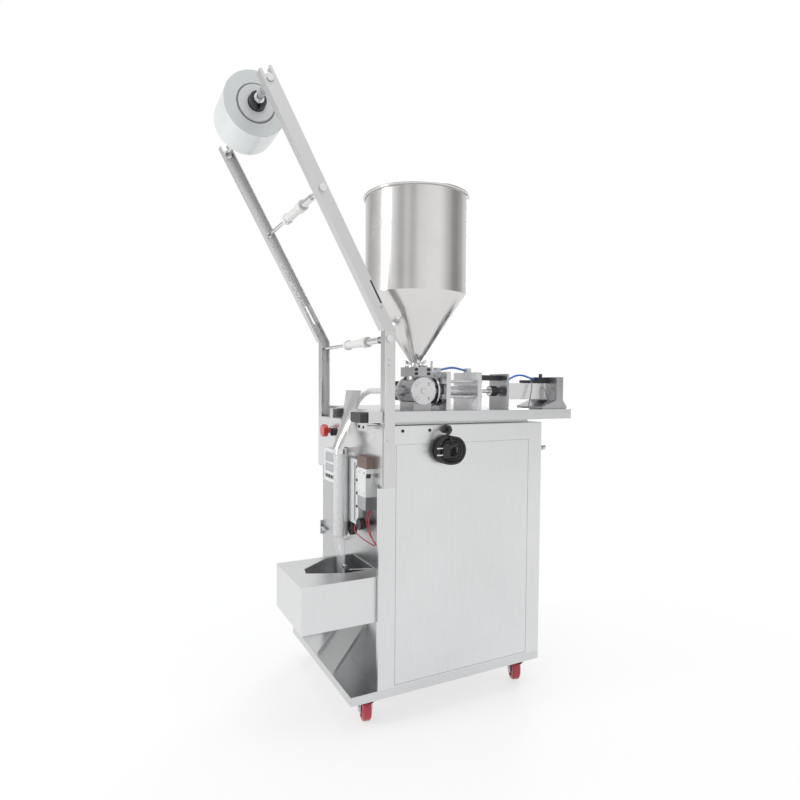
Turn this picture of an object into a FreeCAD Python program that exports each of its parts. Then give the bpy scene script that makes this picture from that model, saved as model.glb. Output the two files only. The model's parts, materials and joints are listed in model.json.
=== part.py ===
import FreeCAD, Part
import Sketcher
import math
import os
import re

# Sachet packing machine, millimetres. X to the right, Y to the rear, Z up.
# Positions are written from the mid plane of the cabinet, the front edge of
# the base tray and the floor. Every node is then moved by one common amount,
# so that the origin is the middle of the footprint on the floor.

SIZES = [
    # Base tray and casters
    ("half_width", 237.5), ("tray_length", 584), ("caster_height", 80), ("tray_height", 22.5),
    ("sheet_gauge", 2), ("caster_inset", 42), ("caster_front", 62), ("caster_rear", 540),
    ("caster_plate", 60), ("caster_plate_gauge", 3), ("wheel_radius", 32), ("wheel_width", 24),
    ("wheel_bore", 6), ("caster_trail", 22), ("fork_gauge", 2.5), ("fork_gap", 1),
    ("race_radius", 22), ("race_height", 6), ("yoke_front", 22), ("fork_shoulder", 12),
    ("fork_foot", 11), ("axle_head", 3), ("axle_head_radius", 8), ("tread_round", 4),
    ("wheel_dish", 4), ("dish_radius", 22), ("hub_radius", 11),
    ("yaw_front_right", -12), ("yaw_rear_right", -22), ("yaw_front_left", -40), ("yaw_rear_left", -30),
    # Cabinet
    ("panel_front", 72), ("panel_step", 611), ("panel_back_step", 113.5), ("cabinet_height", 762),
    ("flange_width", 10), ("door_front", 120), ("door_rear", 537), ("door_low", 108), ("door_high", 716),
    ("door_gap", 1), ("door_lap", 6), ("front_panel_face", 98), ("front_panel_high", 615.5),
    ("control_face", 82.5), ("control_gauge", 2.5), ("control_low", 616), ("control_high", 767),
    ("control_half", 233.5), ("rail_x", 190), ("rail_width", 30), ("rail_front", 130), ("rail_rear", 560),
    ("vent_count", 7), ("vent_length", 150), ("vent_width", 5), ("vent_pitch", 16), ("vent_low", 500),
    ("inlet_x", 190), ("inlet_z", 695), ("inlet_radius", 14), ("inlet_length", 16),
    # Table
    ("table_half", 234.5), ("table_front", 45), ("table_rear", 698), ("table_low", 772), ("table_high", 800),
    ("slot_half", 62), ("slot_rear", 100), ("tongue_width", 22), ("notch_clearance", 0.5),
    # Columns and arms
    ("column_out", 242.5), ("column_width", 26), ("column_front", 85), ("column_rear", 113),
    ("column_gauge", 2.5), ("column_high", 1000), ("arm_lean", 28.8), ("arm_y", 96), ("arm_depth", 30),
    ("arm_length", 632), ("arm_overlap", 30), ("shaft_along", 608), ("upper_along", 359),
    ("slit_low", 56), ("slit_high", 124), ("slit_width", 5.5), ("slit_offset", 3),
    ("gusset_gauge", 3), ("gusset_width", 18), ("gusset_reach", 62), ("bolt_radius", 4), ("bolt_head", 4),
    # Rollers and film
    ("lower_z", 979), ("rod_radius", 5), ("rod_hole", 5.4), ("running_gap", 0.05), ("fit_gap", 0.3),
    ("nut_length", 7), ("nut_radius", 9), ("roller_radius", 11), ("collar_radius", 14),
    ("lower_left", -30.5), ("lower_right", 115.5), ("lower_barrel_left", -16.1), ("lower_barrel_right", 89.2),
    ("upper_left", -45.5), ("upper_right", 102.9), ("upper_barrel_left", -26.5), ("upper_barrel_right", 70.5),
    ("spacer_radius", 9), ("stop_radius", 8), ("lower_spacer", 74), ("upper_spacer", 69), ("stop_length", 8), ("side_gap", 0.4),
    ("film_x", 50.5), ("film_width", 125), ("film_radius", 77), ("core_radius", 46), ("core_bore", 38),
    ("shaft_radius", 8), ("shaft_slot", 8.5), ("chuck_flange", 42), ("chuck_gauge", 4), ("chuck_plug", 22),
    ("knob_radius", 20), ("knob_length", 18), ("knob_slot", 8), ("knob_slot_depth", 9),
    # Controls and pull wheels
    ("stem_radius", 8), ("stop_x", -122), ("selector_x", -67), ("switch_z", 729), ("button_x", -20),
    ("button_z", 735), ("stop_head", 18.5), ("stop_head_depth", 15), ("stop_travel", 5), ("bezel_radius", 13),
    ("bezel_depth", 4), ("stem_length", 30), ("selector_radius", 11), ("selector_depth", 12),
    ("selector_bar", 5), ("button_radius", 9), ("button_depth", 7), ("button_travel", 3),
    ("meter_x", -72), ("meter_z", 631), ("meter_side", 96), ("meter_depth", 20), ("meter_bezel", 3),
    ("wheel_pitch", 37), ("pull_z", 476), ("pull_radius", 17.9), ("pull_shaft", 5), ("pull_front", 66.5),
    ("pull_rear", 80), ("boss_radius", 11), ("bearing_radius", 16), ("bearing_depth", 14),
    # Power cord
    ("cord_y", 262.8), ("cord_z", 752.8), ("gland_hole_radius", 8), ("gland_radius", 11), ("gland_length", 14), ("gland_nut", 9),
    ("cord_radius", 4),
    ("coil_y", 265.5), ("coil_z", 699), ("coil_radius", 36), ("coil_reach", 14.5), ("coil_hole", 12.5),
    ("coil_hole_reach", 7.5), ("coil_width", 26), ("coil_gap", 5), ("plug_length", 34), ("plug_width", 20),
    ("plug_depth", 16),
    ("hose_seat", 0.8), ("hose_arch_y", 43), ("hose_arch", 9), ("rear_arch_y", 562), ("rear_arch_z", 902),
    ("hose_end_gap", 1), ("hose_end_z", 886), ("pipe_turn_y", 128), ("pipe_over_y", 106), ("pipe_drop", 2),
    ("pipe_turn_z", 706), ("pipe_end_z", 640),
    # Hopper
    ("rim_radius", 141.8), ("filler_x", 159.5), ("hopper_y", 215.6), ("hopper_low", 914), ("foot_radius", 26),
    ("foot_gauge", 4), ("neck_radius", 12.5), ("neck_high", 924.5), ("hopper_radius", 135.3),
    ("seam_z", 1100.7), ("rim_z", 1357.5), ("bead_radius", 3.3), ("hopper_gauge", 1.5),
    # Rotary valve
    ("filler_z", 851), ("barrel_left", 121.5), ("barrel_length", 76), ("barrel_radius", 37),
    ("rotor_radius", 20), ("port_radius", 9), ("rotor_shaft", 8), ("rotor_shaft_length", 34),
    ("clamp_depth", 50), ("clamp_gauge", 25), ("clamp_bolt", 5), ("valve_neck", 24), ("foot_depth", 52),
    ("foot_height", 22), ("web_depth", 32), ("cover_radius", 36), ("cover_gauge", 8), ("cover_bolt", 5.5),
    ("cover_bolt_head", 4), ("cover_bolt_circle", 28), ("outlet_radius", 14), ("outlet_face", 165),
    ("inlet_stub", 16), ("ferrule_radius", 30), ("ferrule_depth", 14), ("drive_length", 56),
    ("drive_depth", 50), ("drive_height", 52),
    # Filling cylinder and air cylinder
    ("plate_half", 60), ("plate_gauge", 13), ("front_plate", 276), ("middle_plate", 375), ("plate_high", 902),
    ("fill_radius", 16), ("fill_bore", 14), ("tie_radius", 4), ("tie_x", 45), ("tie_high", 877),
    ("tie_low", 836), ("tie_nut", 7.5), ("tie_nut_length", 8), ("piston_rod_radius", 6), ("piston_start", 350),
    ("piston_length", 18), ("coupling_start", 455), ("coupling_length", 25), ("coupling_radius", 14),
    ("rod_plate", 488), ("rod_plate_half", 42), ("rod_plate_gauge", 7), ("rod_plate_high", 900),
    ("air_half", 23.5), ("air_rear", 655), ("air_bore", 18), ("air_cap", 12), ("air_piston", 596),
    ("air_piston_length", 16), ("bracket_gauge", 25), ("bracket_half", 60), ("bracket_high", 893),
    ("bracket_front", 604), ("bracket_rear", 695), ("bracket_foot", 6), ("guide_half", 10), ("guide_low", 881),
    ("guide_high", 896), ("sensor_start", 575), ("sensor_length", 25), ("sensor_height", 9), ("sensor_half", 12),
    ("block_start", 622), ("block_height", 18), ("block_half", 18), ("fitting_radius", 5),
    ("fitting_height", 10), ("top_fitting_half", 9), ("top_fitting_height", 12), ("hose_radius", 3),
    ("pipe_radius", 8), ("pipe_bore", 6.5), ("pipe_flange", 7),
    # Film former, forming tube and vertical seal
    ("former_top_y", 82), ("former_top", 851), ("former_half", 52), ("former_low", 694), ("former_gauge", 1.5),
    ("former_gap", 3), ("ear_front", 64), ("ear_depth", 14), ("ear_reach", 16), ("ear_start", 36),
    ("tube_y", 46), ("tube_radius", 19), ("tube_gauge", 1.5), ("tube_low", 457), ("tube_high", 696),
    ("strap_half", 3), ("strap_height", 14), ("film_gauge", 0.5), ("film_top", 679), ("fin_rear", 79),
    ("flat_half", 31), ("flat_z", 350), ("film_end", 300), ("bar_gap", 3), ("bar_length", 69.5),
    ("bar_front", 66.5), ("bar_rear", 80), ("bar_low", 495.5), ("bar_high", 668), ("pin_radius", 4),
    ("pin_length", 26), ("pin_low", 562), ("pin_high", 622), ("drive_gap", 6), ("seal_drive_width", 51),
    ("seal_drive_low", 545), ("seal_drive_high", 640), ("seal_drive_front", 62), ("shield_width", 61),
    ("shield_high", 683), ("shield_gap", 1),
    # Horizontal jaws, chute and mark sensor
    ("jaw_box_left", 10.5), ("jaw_box_right", 226), ("jaw_box_front", -121), ("jaw_box_low", 273.6),
    ("jaw_box_high", 388.5), ("jaw_z", 330), ("jaw_half", 35), ("jaw_height", 24), ("jaw_depth", 24),
    ("jaw_travel", 24), ("jaw_clear", 0.6), ("jaw_rod", 8), ("jaw_pin", 5), ("jaw_pin_x", 20),
    ("jaw_rod_length", 88), ("jaw_drive_half", 31), ("jaw_drive_height", 48), ("jaw_drive_length", 78),
    ("chute_left", -7.5), ("chute_width", 123), ("chute_rise", 118.7), ("chute_gauge", 3),
    ("chute_flange", 12), ("sensor_left", 167.5), ("sensor_width", 63), ("mark_depth", 20), ("mark_low", 773),
    ("mark_high", 798),
]

doc = FreeCAD.newDocument("SachetMachine")
sheet = doc.addObject("Spreadsheet::Sheet", "Sizes")
ROW = [0]
NAMES = set()


def add_sizes(pairs):
    for name, number in pairs:
        ROW[0] += 1
        sheet.set("A%d" % ROW[0], name)
        sheet.set("B%d" % ROW[0], str(number))
        sheet.setAlias("B%d" % ROW[0], name)
        NAMES.add(name)
    doc.recompute()


def number(name):
    return float(sheet.get(name))


def link(text):
    def swap(found):
        word = found.group(0)
        return "Sizes." + word if word in NAMES else word
    return re.sub(r"[A-Za-z_]+", swap, str(text))


def bind(thing, place, text):
    thing.setExpression(place, link(text))


# Middle of the footprint: the left rod nuts against the hopper rim, and the
# front of the film roll against the rear edge of the table.
MID_X = "(filler_x + rim_radius - column_out - nut_length)/2"
MID_Y = "(table_rear + arm_y - shaft_along*sin(arm_lean) - film_radius)/2"
NODES = []


def place(thing, x, y, z, shifted=True):
    bind(thing, "Placement.Base.x", "(%s) - %s" % (x, MID_X) if shifted else x)
    bind(thing, "Placement.Base.y", "(%s) - %s" % (y, MID_Y) if shifted else y)
    bind(thing, "Placement.Base.z", z)
    return thing


def turned(thing, axis, degrees):
    thing.Placement = FreeCAD.Placement(FreeCAD.Vector(0, 0, 0), FreeCAD.Rotation(FreeCAD.Vector(*axis), degrees))
    return thing


def box(name, x, y, z, length, depth, height, shifted=True):
    thing = doc.addObject("Part::Box", name)
    bind(thing, "Length", length)
    bind(thing, "Width", depth)
    bind(thing, "Height", height)
    return place(thing, x, y, z, shifted)


def rod(name, axis, x, y, z, radius, length, shifted=True):
    thing = doc.addObject("Part::Cylinder", name)
    bind(thing, "Radius", radius)
    bind(thing, "Height", length)
    if axis == "X":
        turned(thing, (0, 1, 0), 90)
    if axis == "Y":
        turned(thing, (1, 0, 0), -90)
    return place(thing, x, y, z, shifted)


def cone(name, axis, x, y, z, radius, end_radius, length, shifted=True):
    thing = doc.addObject("Part::Cone", name)
    bind(thing, "Radius1", radius)
    bind(thing, "Radius2", end_radius)
    bind(thing, "Height", length)
    if axis == "X":
        turned(thing, (0, 1, 0), 90)
    if axis == "Y":
        turned(thing, (1, 0, 0), -90)
    return place(thing, x, y, z, shifted)


def nut(name, axis, x, y, z, radius, length, shifted=True):
    thing = doc.addObject("Part::Prism", name)
    thing.Polygon = 6
    bind(thing, "Circumradius", radius)
    bind(thing, "Height", length)
    if axis == "X":
        turned(thing, (0, 1, 0), 90)
    if axis == "Y":
        turned(thing, (1, 0, 0), -90)
    return place(thing, x, y, z, shifted)


def join(name, things):
    if len(things) == 1:
        return things[0]
    thing = doc.addObject("Part::MultiFuse", name)
    thing.Shapes = things
    thing.Refine = True
    return thing


def cut(name, base, tools):
    thing = doc.addObject("Part::Cut", name)
    thing.Base = base
    thing.Tool = join(name + "_tools", tools)
    thing.Refine = True
    return thing


def mirror(name, source):
    thing = doc.addObject("Part::Mirroring", name)
    thing.Source = source
    thing.Normal = FreeCAD.Vector(1, 0, 0)
    bind(thing, "Base.x", "-%s" % MID_X)
    return thing


def node(label, thing):
    thing.Label = label
    NODES.append(thing)
    return thing


def sketch(body, name, plane, offset, outline=(), circles=()):
    drawing = body.newObject("Sketcher::SketchObject", name)
    support = [item for item in body.Origin.OriginFeatures if item.Role == plane][0]
    drawing.AttachmentSupport = [(support, "")]
    drawing.MapMode = "FlatFace"
    bind(drawing, "AttachmentOffset.Base.z", offset)
    count = len(outline)
    start = [(50 * math.cos(2 * math.pi * i / max(count, 1)),
              50 * math.sin(2 * math.pi * i / max(count, 1))) for i in range(count)]
    for i in range(count):
        first = FreeCAD.Vector(start[i][0], start[i][1], 0)
        second = FreeCAD.Vector(start[(i + 1) % count][0], start[(i + 1) % count][1], 0)
        drawing.addGeometry(Part.LineSegment(first, second), False)
    for i in range(count):
        drawing.addConstraint(Sketcher.Constraint("Coincident", i, 2, (i + 1) % count, 1))
    for i in range(count):
        for k, kind in enumerate(("DistanceX", "DistanceY")):
            number = drawing.addConstraint(Sketcher.Constraint(kind, -1, 1, i, 1, start[i][k]))
            bind(drawing, "Constraints[%d]" % number, outline[i][k])
    for x, y, radius in circles:
        middle = FreeCAD.Vector(10, 10, 0)
        ring = drawing.addGeometry(Part.Circle(middle, FreeCAD.Vector(0, 0, 1), 5), False)
        for kind, text in (("DistanceX", x), ("DistanceY", y)):
            number = drawing.addConstraint(Sketcher.Constraint(kind, -1, 1, ring, 3, 10.0))
            bind(drawing, "Constraints[%d]" % number, text)
        number = drawing.addConstraint(Sketcher.Constraint("Radius", ring, 5.0))
        bind(drawing, "Constraints[%d]" % number, radius)
    return drawing


def plate(name, plane, offset, outline, thickness, shifted=True):
    # The pad grows along the normal of the plane: +X, -Y or +Z.
    body = doc.addObject("PartDesign::Body", name)
    drawing = sketch(body, name + "_outline", plane, offset, outline)
    pad = body.newObject("PartDesign::Pad", name + "_pad")
    pad.Profile = drawing
    bind(pad, "Length", thickness)
    body.Tip = pad
    return place(body, "0", "0", "0", shifted)


def spun(name, profile, x, y, z):
    # The profile is drawn in the XZ plane and turned round the Z axis.
    body = doc.addObject("PartDesign::Body", name)
    drawing = sketch(body, name + "_profile", "XZ_Plane", "0", profile)
    turn = body.newObject("PartDesign::Revolution", name + "_turn")
    turn.Profile = drawing
    turn.ReferenceAxis = (drawing, ["V_Axis"])
    turn.Angle = 360
    body.Tip = turn
    return place(body, x, y, z)


def tube_shape(points, radii, tube_radius, bore_radius=0):
    # Straight runs joined by tangent arcs.
    corners = [FreeCAD.Vector(*p) for p in points]
    edges = []
    last = corners[0]
    for i in range(1, len(corners) - 1):
        here = corners[i]
        back = (corners[i - 1] - here).normalize()
        ahead = (corners[i + 1] - here).normalize()
        half = back.getAngle(ahead) / 2
        reach = radii[i - 1] / math.tan(half)
        first = here + back * reach
        second = here + ahead * reach
        middle_way = (back + ahead).normalize()
        centre = here + middle_way * (radii[i - 1] / math.sin(half))
        middle = centre - middle_way * radii[i - 1]
        if (first - last).Length > 1e-6:
            edges.append(Part.LineSegment(last, first).toShape())
        edges.append(Part.Arc(first, middle, second).toShape())
        last = second
    edges.append(Part.LineSegment(last, corners[-1]).toShape())
    path = Part.Wire(edges)
    way = corners[1] - corners[0]
    outer = Part.Wire([Part.makeCircle(tube_radius, corners[0], way)])
    solid = path.makePipeShell([outer], True, False)
    if bore_radius:
        inner = Part.Wire([Part.makeCircle(bore_radius, corners[0], way)])
        solid = solid.cut(path.makePipeShell([inner], True, False))
    return solid


add_sizes(SIZES)

# Base tray: an open pan with the four caster plates under it.
pan = box("tray_block", "-half_width", "0", "caster_height", "2*half_width", "tray_length", "tray_height")
well = box("tray_well", "-half_width + sheet_gauge", "sheet_gauge", "caster_height + sheet_gauge",
           "2*half_width - 2*sheet_gauge", "tray_length - 2*sheet_gauge", "tray_height")
plates = []
for side, sign in (("right", ""), ("left", "-")):
    for end in ("front", "rear"):
        plates.append(box("caster_plate_%s_%s" % (end, side),
                          "%s(half_width - caster_inset) - caster_plate/2" % sign,
                          "caster_%s - caster_plate/2" % end, "caster_height - caster_plate_gauge",
                          "caster_plate", "caster_plate", "caster_plate_gauge"))
node("base_tray", join("base_tray", [cut("tray_pan", pan, [well])] + plates))

# Side panels: a frame with a stepped front edge and an inset door on a backing lap.
TRAY_TOP = "caster_height + tray_height"
side_outline = [("panel_front", TRAY_TOP), ("tray_length", TRAY_TOP), ("tray_length", "cabinet_height"),
                ("panel_back_step", "cabinet_height"), ("panel_back_step", "panel_step"),
                ("panel_front", "panel_step")]
side_sheet = plate("side_sheet", "YZ_Plane", "half_width - sheet_gauge", side_outline, "sheet_gauge")
door_hole = box("door_hole", "half_width - 2*sheet_gauge", "door_front - door_gap", "door_low - door_gap",
                "3*sheet_gauge", "door_rear - door_front + 2*door_gap", "door_high - door_low + 2*door_gap")
door = box("door_sheet", "half_width - sheet_gauge", "door_front", "door_low", "sheet_gauge",
           "door_rear - door_front", "door_high - door_low")
lap = box("door_backing", "half_width - 2*sheet_gauge", "door_front - door_lap", TRAY_TOP, "sheet_gauge",
          "door_rear - door_front + 2*door_lap", "door_high + door_lap - (%s)" % TRAY_TOP)
lap_hole = box("door_backing_hole", "half_width - 3*sheet_gauge", "door_front + door_lap", "door_low + door_lap",
               "3*sheet_gauge", "door_rear - door_front - 2*door_lap", "door_high - door_low - 2*door_lap")
lap_ring = cut("door_lap", lap, [lap_hole])
flange = box("side_flange", "half_width - flange_width", "panel_front", TRAY_TOP,
             "flange_width - sheet_gauge", "sheet_gauge", "panel_step - (%s)" % TRAY_TOP)
step_flange = box("side_step_flange", "half_width - flange_width", "panel_back_step", "panel_step",
                  "flange_width - sheet_gauge", "sheet_gauge", "cabinet_height - panel_step")
right_side = join("right_side", [cut("side_frame", side_sheet, [door_hole]), door, lap_ring, flange, step_flange])
node("left_side_panel", mirror("left_side", right_side))
gland_hole = rod("gland_hole", "X", "half_width - 3*sheet_gauge", "cord_y", "cord_z", "gland_hole_radius",
                 "5*sheet_gauge")
node("right_side_panel", cut("right_side_panel", right_side, [gland_hole]))

# Rear panel with a row of louvre slots, front panel, control panel.
PANEL_HALF = "(half_width - sheet_gauge)"
rear = plate("rear_sheet", "XZ_Plane", "-tray_length",
             [("-%s" % PANEL_HALF, TRAY_TOP), (PANEL_HALF, TRAY_TOP), (PANEL_HALF, "cabinet_height"),
              ("-%s" % PANEL_HALF, "cabinet_height")], "sheet_gauge")
vent = sketch(rear, "vent_outline", "XZ_Plane", "2*sheet_gauge - tray_length",
              [("-vent_length/2", "vent_low"), ("vent_length/2", "vent_low"),
               ("vent_length/2", "vent_low + vent_width"), ("-vent_length/2", "vent_low + vent_width")])
slot = rear.newObject("PartDesign::Pocket", "vent_slot")
slot.Profile = vent
bind(slot, "Length", "3*sheet_gauge")
row = rear.newObject("PartDesign::LinearPattern", "vent_row")
row.Originals = [slot]
row.Direction = (vent, ["V_Axis"])
bind(row, "Occurrences", "vent_count")
bind(row, "Length", "vent_pitch*(vent_count - 1)")
rear.Tip = row
inlet = join("inlet_fitting", [
    rod("inlet_body", "Y", "inlet_x", "tray_length", "inlet_z", "inlet_radius", "inlet_length*0.6"),
    nut("inlet_nut", "Y", "inlet_x", "tray_length + inlet_length*0.6", "inlet_z", "inlet_radius*0.8",
        "inlet_length*0.4")])
node("rear_panel", join("rear_panel", [rear, inlet]))

front_sheet = box("front_sheet", "-%s" % PANEL_HALF, "front_panel_face", "caster_height + sheet_gauge",
                  "2*%s" % PANEL_HALF, "sheet_gauge", "control_low - caster_height - sheet_gauge")
wheel_holes = [rod("wheel_shaft_hole_%s" % side, "Y", "film_x %s wheel_pitch/2" % sign,
                   "front_panel_face - sheet_gauge", "pull_z", "pull_shaft + fit_gap", "3*sheet_gauge")
               for side, sign in (("right", "+"), ("left", "-"))]
node("front_panel", cut("front_panel", front_sheet, wheel_holes))

control_face = box("control_face", "-control_half", "control_face", "control_low", "2*control_half",
                   "control_gauge", "control_high - control_low")
COLUMN_IN = "(column_out - column_width)"
control_lip = box("control_lip", "-%s + fit_gap" % COLUMN_IN, "control_face + control_gauge",
                  "control_high - control_gauge", "2*%s - 2*fit_gap" % COLUMN_IN, "column_rear - column_front",
                  "control_gauge")
control_foot = box("control_foot", "-%s + fit_gap" % COLUMN_IN, "control_face + control_gauge", "control_low",
                   "2*%s - 2*fit_gap" % COLUMN_IN,
                   "front_panel_face + sheet_gauge - control_face - control_gauge", "control_gauge")
control_holes = [rod(name + "_hole", "Y", x, "control_face - control_gauge", z, "stem_radius + fit_gap",
                     "3*control_gauge")
                 for name, x, z in (("stop", "stop_x", "switch_z"), ("selector", "selector_x", "switch_z"),
                                    ("button", "button_x", "button_z"))]
node("control_panel", cut("control_panel", join("control_sheet", [control_face, control_lip, control_foot]),
                          control_holes))

# Cabinet top with two rails that carry the table.
lid = box("cabinet_lid", "-half_width", "panel_back_step", "cabinet_height", "2*half_width",
          "tray_length - panel_back_step", "sheet_gauge")
rails = [box("table_rail_%s" % side, "%s - rail_width/2" % x, "rail_front", "cabinet_height + sheet_gauge",
             "rail_width", "rail_rear - rail_front", "table_high - cabinet_height - 2*sheet_gauge")
         for side, x in (("right", "rail_x"), ("left", "-rail_x"))]
node("cabinet_top", join("cabinet_top", [lid] + rails))

# Table: a folded tray, open below. It is notched round the right column and the film,
# and left of the film it starts behind the left column.
def table_box(name, x, y, wide, deep):
    return box(name, x, y, "table_low - sheet_gauge", wide, deep, "table_high - table_low + 2*sheet_gauge")


CORNER_WIDE = "table_half + sheet_gauge + film_x - slot_half - tongue_width"
CORNER_DEEP = "column_rear + notch_clearance + sheet_gauge - table_front"
slab = box("table_block", "-table_half", "table_front", "table_low", "2*table_half",
           "table_rear - table_front", "table_high - table_low")
under = cut("table_under", box("table_inside", "-table_half + sheet_gauge", "table_front + sheet_gauge",
                               "table_low - sheet_gauge", "2*table_half - 2*sheet_gauge",
                               "table_rear - table_front - 2*sheet_gauge", "table_high - table_low"), [
    table_box("table_corner_inside", "-table_half - sheet_gauge", "table_front - sheet_gauge",
              CORNER_WIDE + " + sheet_gauge", CORNER_DEEP + " + sheet_gauge")])
notch = table_box("table_notch", "%s - notch_clearance" % COLUMN_IN, "column_front - notch_clearance",
                  "column_width + notch_clearance + sheet_gauge",
                  "column_rear - column_front + 2*notch_clearance")
film_slot = table_box("film_slot", "film_x - slot_half", "table_front - sheet_gauge", "2*slot_half",
                      "slot_rear - table_front + sheet_gauge")
corner = table_box("table_corner", "-table_half - sheet_gauge", "table_front - sheet_gauge",
                   CORNER_WIDE, CORNER_DEEP)
node("table_top", cut("table_top", slab, [corner, under, film_slot, notch]))

# Columns: channels open to the middle, with a hole for the lower rod.
channel = [(COLUMN_IN, "column_front"), ("column_out", "column_front"), ("column_out", "column_rear"),
           (COLUMN_IN, "column_rear"), (COLUMN_IN, "column_rear - column_gauge"),
           ("column_out - column_gauge", "column_rear - column_gauge"),
           ("column_out - column_gauge", "column_front + column_gauge"),
           (COLUMN_IN, "column_front + column_gauge")]
column = plate("column_channel", "XY_Plane", "panel_step", channel, "column_high - panel_step")
lower_hole = rod("lower_rod_hole", "X", "%s" % COLUMN_IN, "arm_y", "lower_z", "rod_hole", "2*column_width")
right_column = node("right_column", cut("right_column", column, [lower_hole]))
node("left_column", mirror("left_column", right_column))

# Arms: the same channel section, leaning forward from the top of the columns,
# with an open slot for the film shaft at the tip and a gusset in the bend.
LEAN = number("arm_lean")
WEB = "column_width - column_gauge"


def arm_place(thing, x, y, z):
    # x from the inner edge of the channel, y across the arm, z along it
    thing.Placement = FreeCAD.Placement(FreeCAD.Vector(0, 0, 0),
                                        FreeCAD.Rotation(FreeCAD.Vector(1, 0, 0), LEAN)
                                        * thing.Placement.Rotation)
    place(thing, "%s + %s" % (COLUMN_IN, x),
          "arm_y + (%s)*cos(arm_lean) - (%s)*sin(arm_lean)" % (y, z),
          "column_high + (%s)*sin(arm_lean) + (%s)*cos(arm_lean)" % (y, z))
    return thing


blank = arm_place(box("arm_blank", "0", "0", "0", "column_width", "arm_depth", "arm_length + arm_overlap"),
                  "0", "-arm_depth/2", "-arm_overlap")
hollow = arm_place(box("arm_hollow", "0", "0", "0", WEB, "arm_depth - 2*column_gauge",
                       "arm_length + 3*arm_overlap"), "0", "column_gauge - arm_depth/2", "-2*arm_overlap")
shaft_seat = arm_place(rod("shaft_seat", "X", "0", "0", "0", "shaft_slot", "column_width"),
                       "column_width/2", "0", "shaft_along")
shaft_way = arm_place(box("shaft_way", "0", "0", "0", "column_width", "2*shaft_slot", "arm_length"),
                      "column_width/2", "-shaft_slot", "shaft_along")
upper_hole = arm_place(rod("upper_rod_hole", "X", "0", "0", "0", "rod_hole", "column_width"),
                       "column_width/2", "0", "upper_along")
slit = arm_place(box("arm_slit", "0", "0", "0", "column_width", "slit_width", "slit_high - slit_low"),
                 "column_width/2", "slit_offset", "slit_low")
under_arm = box("under_arm", "%s - column_width" % COLUMN_IN, "arm_y - 5*arm_depth",
                "column_high - 3*arm_overlap", "3*column_width", "10*arm_depth", "3*arm_overlap")
arm_channel = cut("arm_channel", blank, [hollow, shaft_seat, shaft_way, upper_hole, slit, under_arm])
gusset_low = box("gusset_low", "column_out - column_gauge - gusset_gauge",
                 "(column_front + column_rear)/2 - gusset_width/2", "column_high - gusset_reach", "gusset_gauge",
                 "gusset_width", "gusset_reach + gusset_gauge")
gusset_high = arm_place(box("gusset_high", "0", "0", "0", "gusset_gauge", "gusset_width", "gusset_reach"),
                        "%s - gusset_gauge" % WEB, "-gusset_width/2", "0")
gusset_hole = rod("gusset_hole", "X", COLUMN_IN, "arm_y", "lower_z", "rod_hole", "2*column_width")
bolts = [rod("gusset_bolt", "X", "column_out - column_gauge - gusset_gauge - bolt_head",
             "(column_front + column_rear)/2", "column_high - gusset_reach*0.8", "bolt_radius", "bolt_head")]
for share in (0.4, 0.8):
    bolts.append(arm_place(rod("arm_bolt", "X", "0", "0", "0", "bolt_radius", "bolt_head"),
                           "%s - gusset_gauge - bolt_head" % WEB, "0", "gusset_reach*%s" % share))
gusset = cut("gusset", join("gusset_plates", [gusset_low, gusset_high]), [gusset_hole])
right_arm = node("right_arm", join("right_arm", [arm_channel, gusset] + bolts))
node("left_arm", mirror("left_arm", right_arm))

# Rods across the columns and arms, with their end nuts, stops and spacers.
UPPER_Y = "arm_y - upper_along*sin(arm_lean)"
UPPER_Z = "column_high + upper_along*cos(arm_lean)"
SHAFT_Y = "arm_y - shaft_along*sin(arm_lean)"
SHAFT_Z = "column_high + shaft_along*cos(arm_lean)"
LINES = (("lower", "arm_y", "lower_z", "column_out - column_gauge - gusset_gauge"),
         ("upper", UPPER_Y, UPPER_Z, "column_out - column_gauge"))
rods = []
for name, y, z, face in LINES:
    rods.append(rod(name + "_rod", "X", "-column_out - nut_length", y, z, "rod_radius",
                    "2*column_out + 2*nut_length"))
    rods.append(nut(name + "_nut_right", "X", "column_out", y, z, "nut_radius", "nut_length"))
    rods.append(nut(name + "_nut_left", "X", "-column_out - nut_length", y, z, "nut_radius", "nut_length"))
    rods.append(rod(name + "_stop_right", "X", "%s - stop_length" % face, y, z, "stop_radius", "stop_length"))
    rods.append(rod(name + "_stop_left", "X", "-(%s)" % face, y, z, "stop_radius", "stop_length"))
    rods.append(rod(name + "_spacer", "X", "%s_right + side_gap" % name, y, z, "spacer_radius",
                    "%s_spacer" % name))
    rods.append(rod(name + "_ring", "X", "%s_left - side_gap - stop_length" % name, y, z, "spacer_radius",
                    "stop_length"))
shaft = [rod("shaft_bar", "X", "-column_out - nut_length/2", SHAFT_Y, SHAFT_Z, "shaft_radius",
             "2*column_out + nut_length")]
REEL_END = "film_width/2 + chuck_gauge + knob_length + side_gap"
for name, x in (("shaft_stop_right", "column_out - column_gauge - stop_length"),
                ("shaft_stop_left", "-column_out + column_gauge"),
                ("reel_stop_right", "film_x + %s" % REEL_END),
                ("reel_stop_left", "film_x - (%s) - stop_length" % REEL_END)):
    shaft.append(rod(name, "X", x, SHAFT_Y, SHAFT_Z, "shaft_radius + column_gauge*1.6", "stop_length"))
node("roller_rods", join("roller_rods", rods + shaft))

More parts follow.
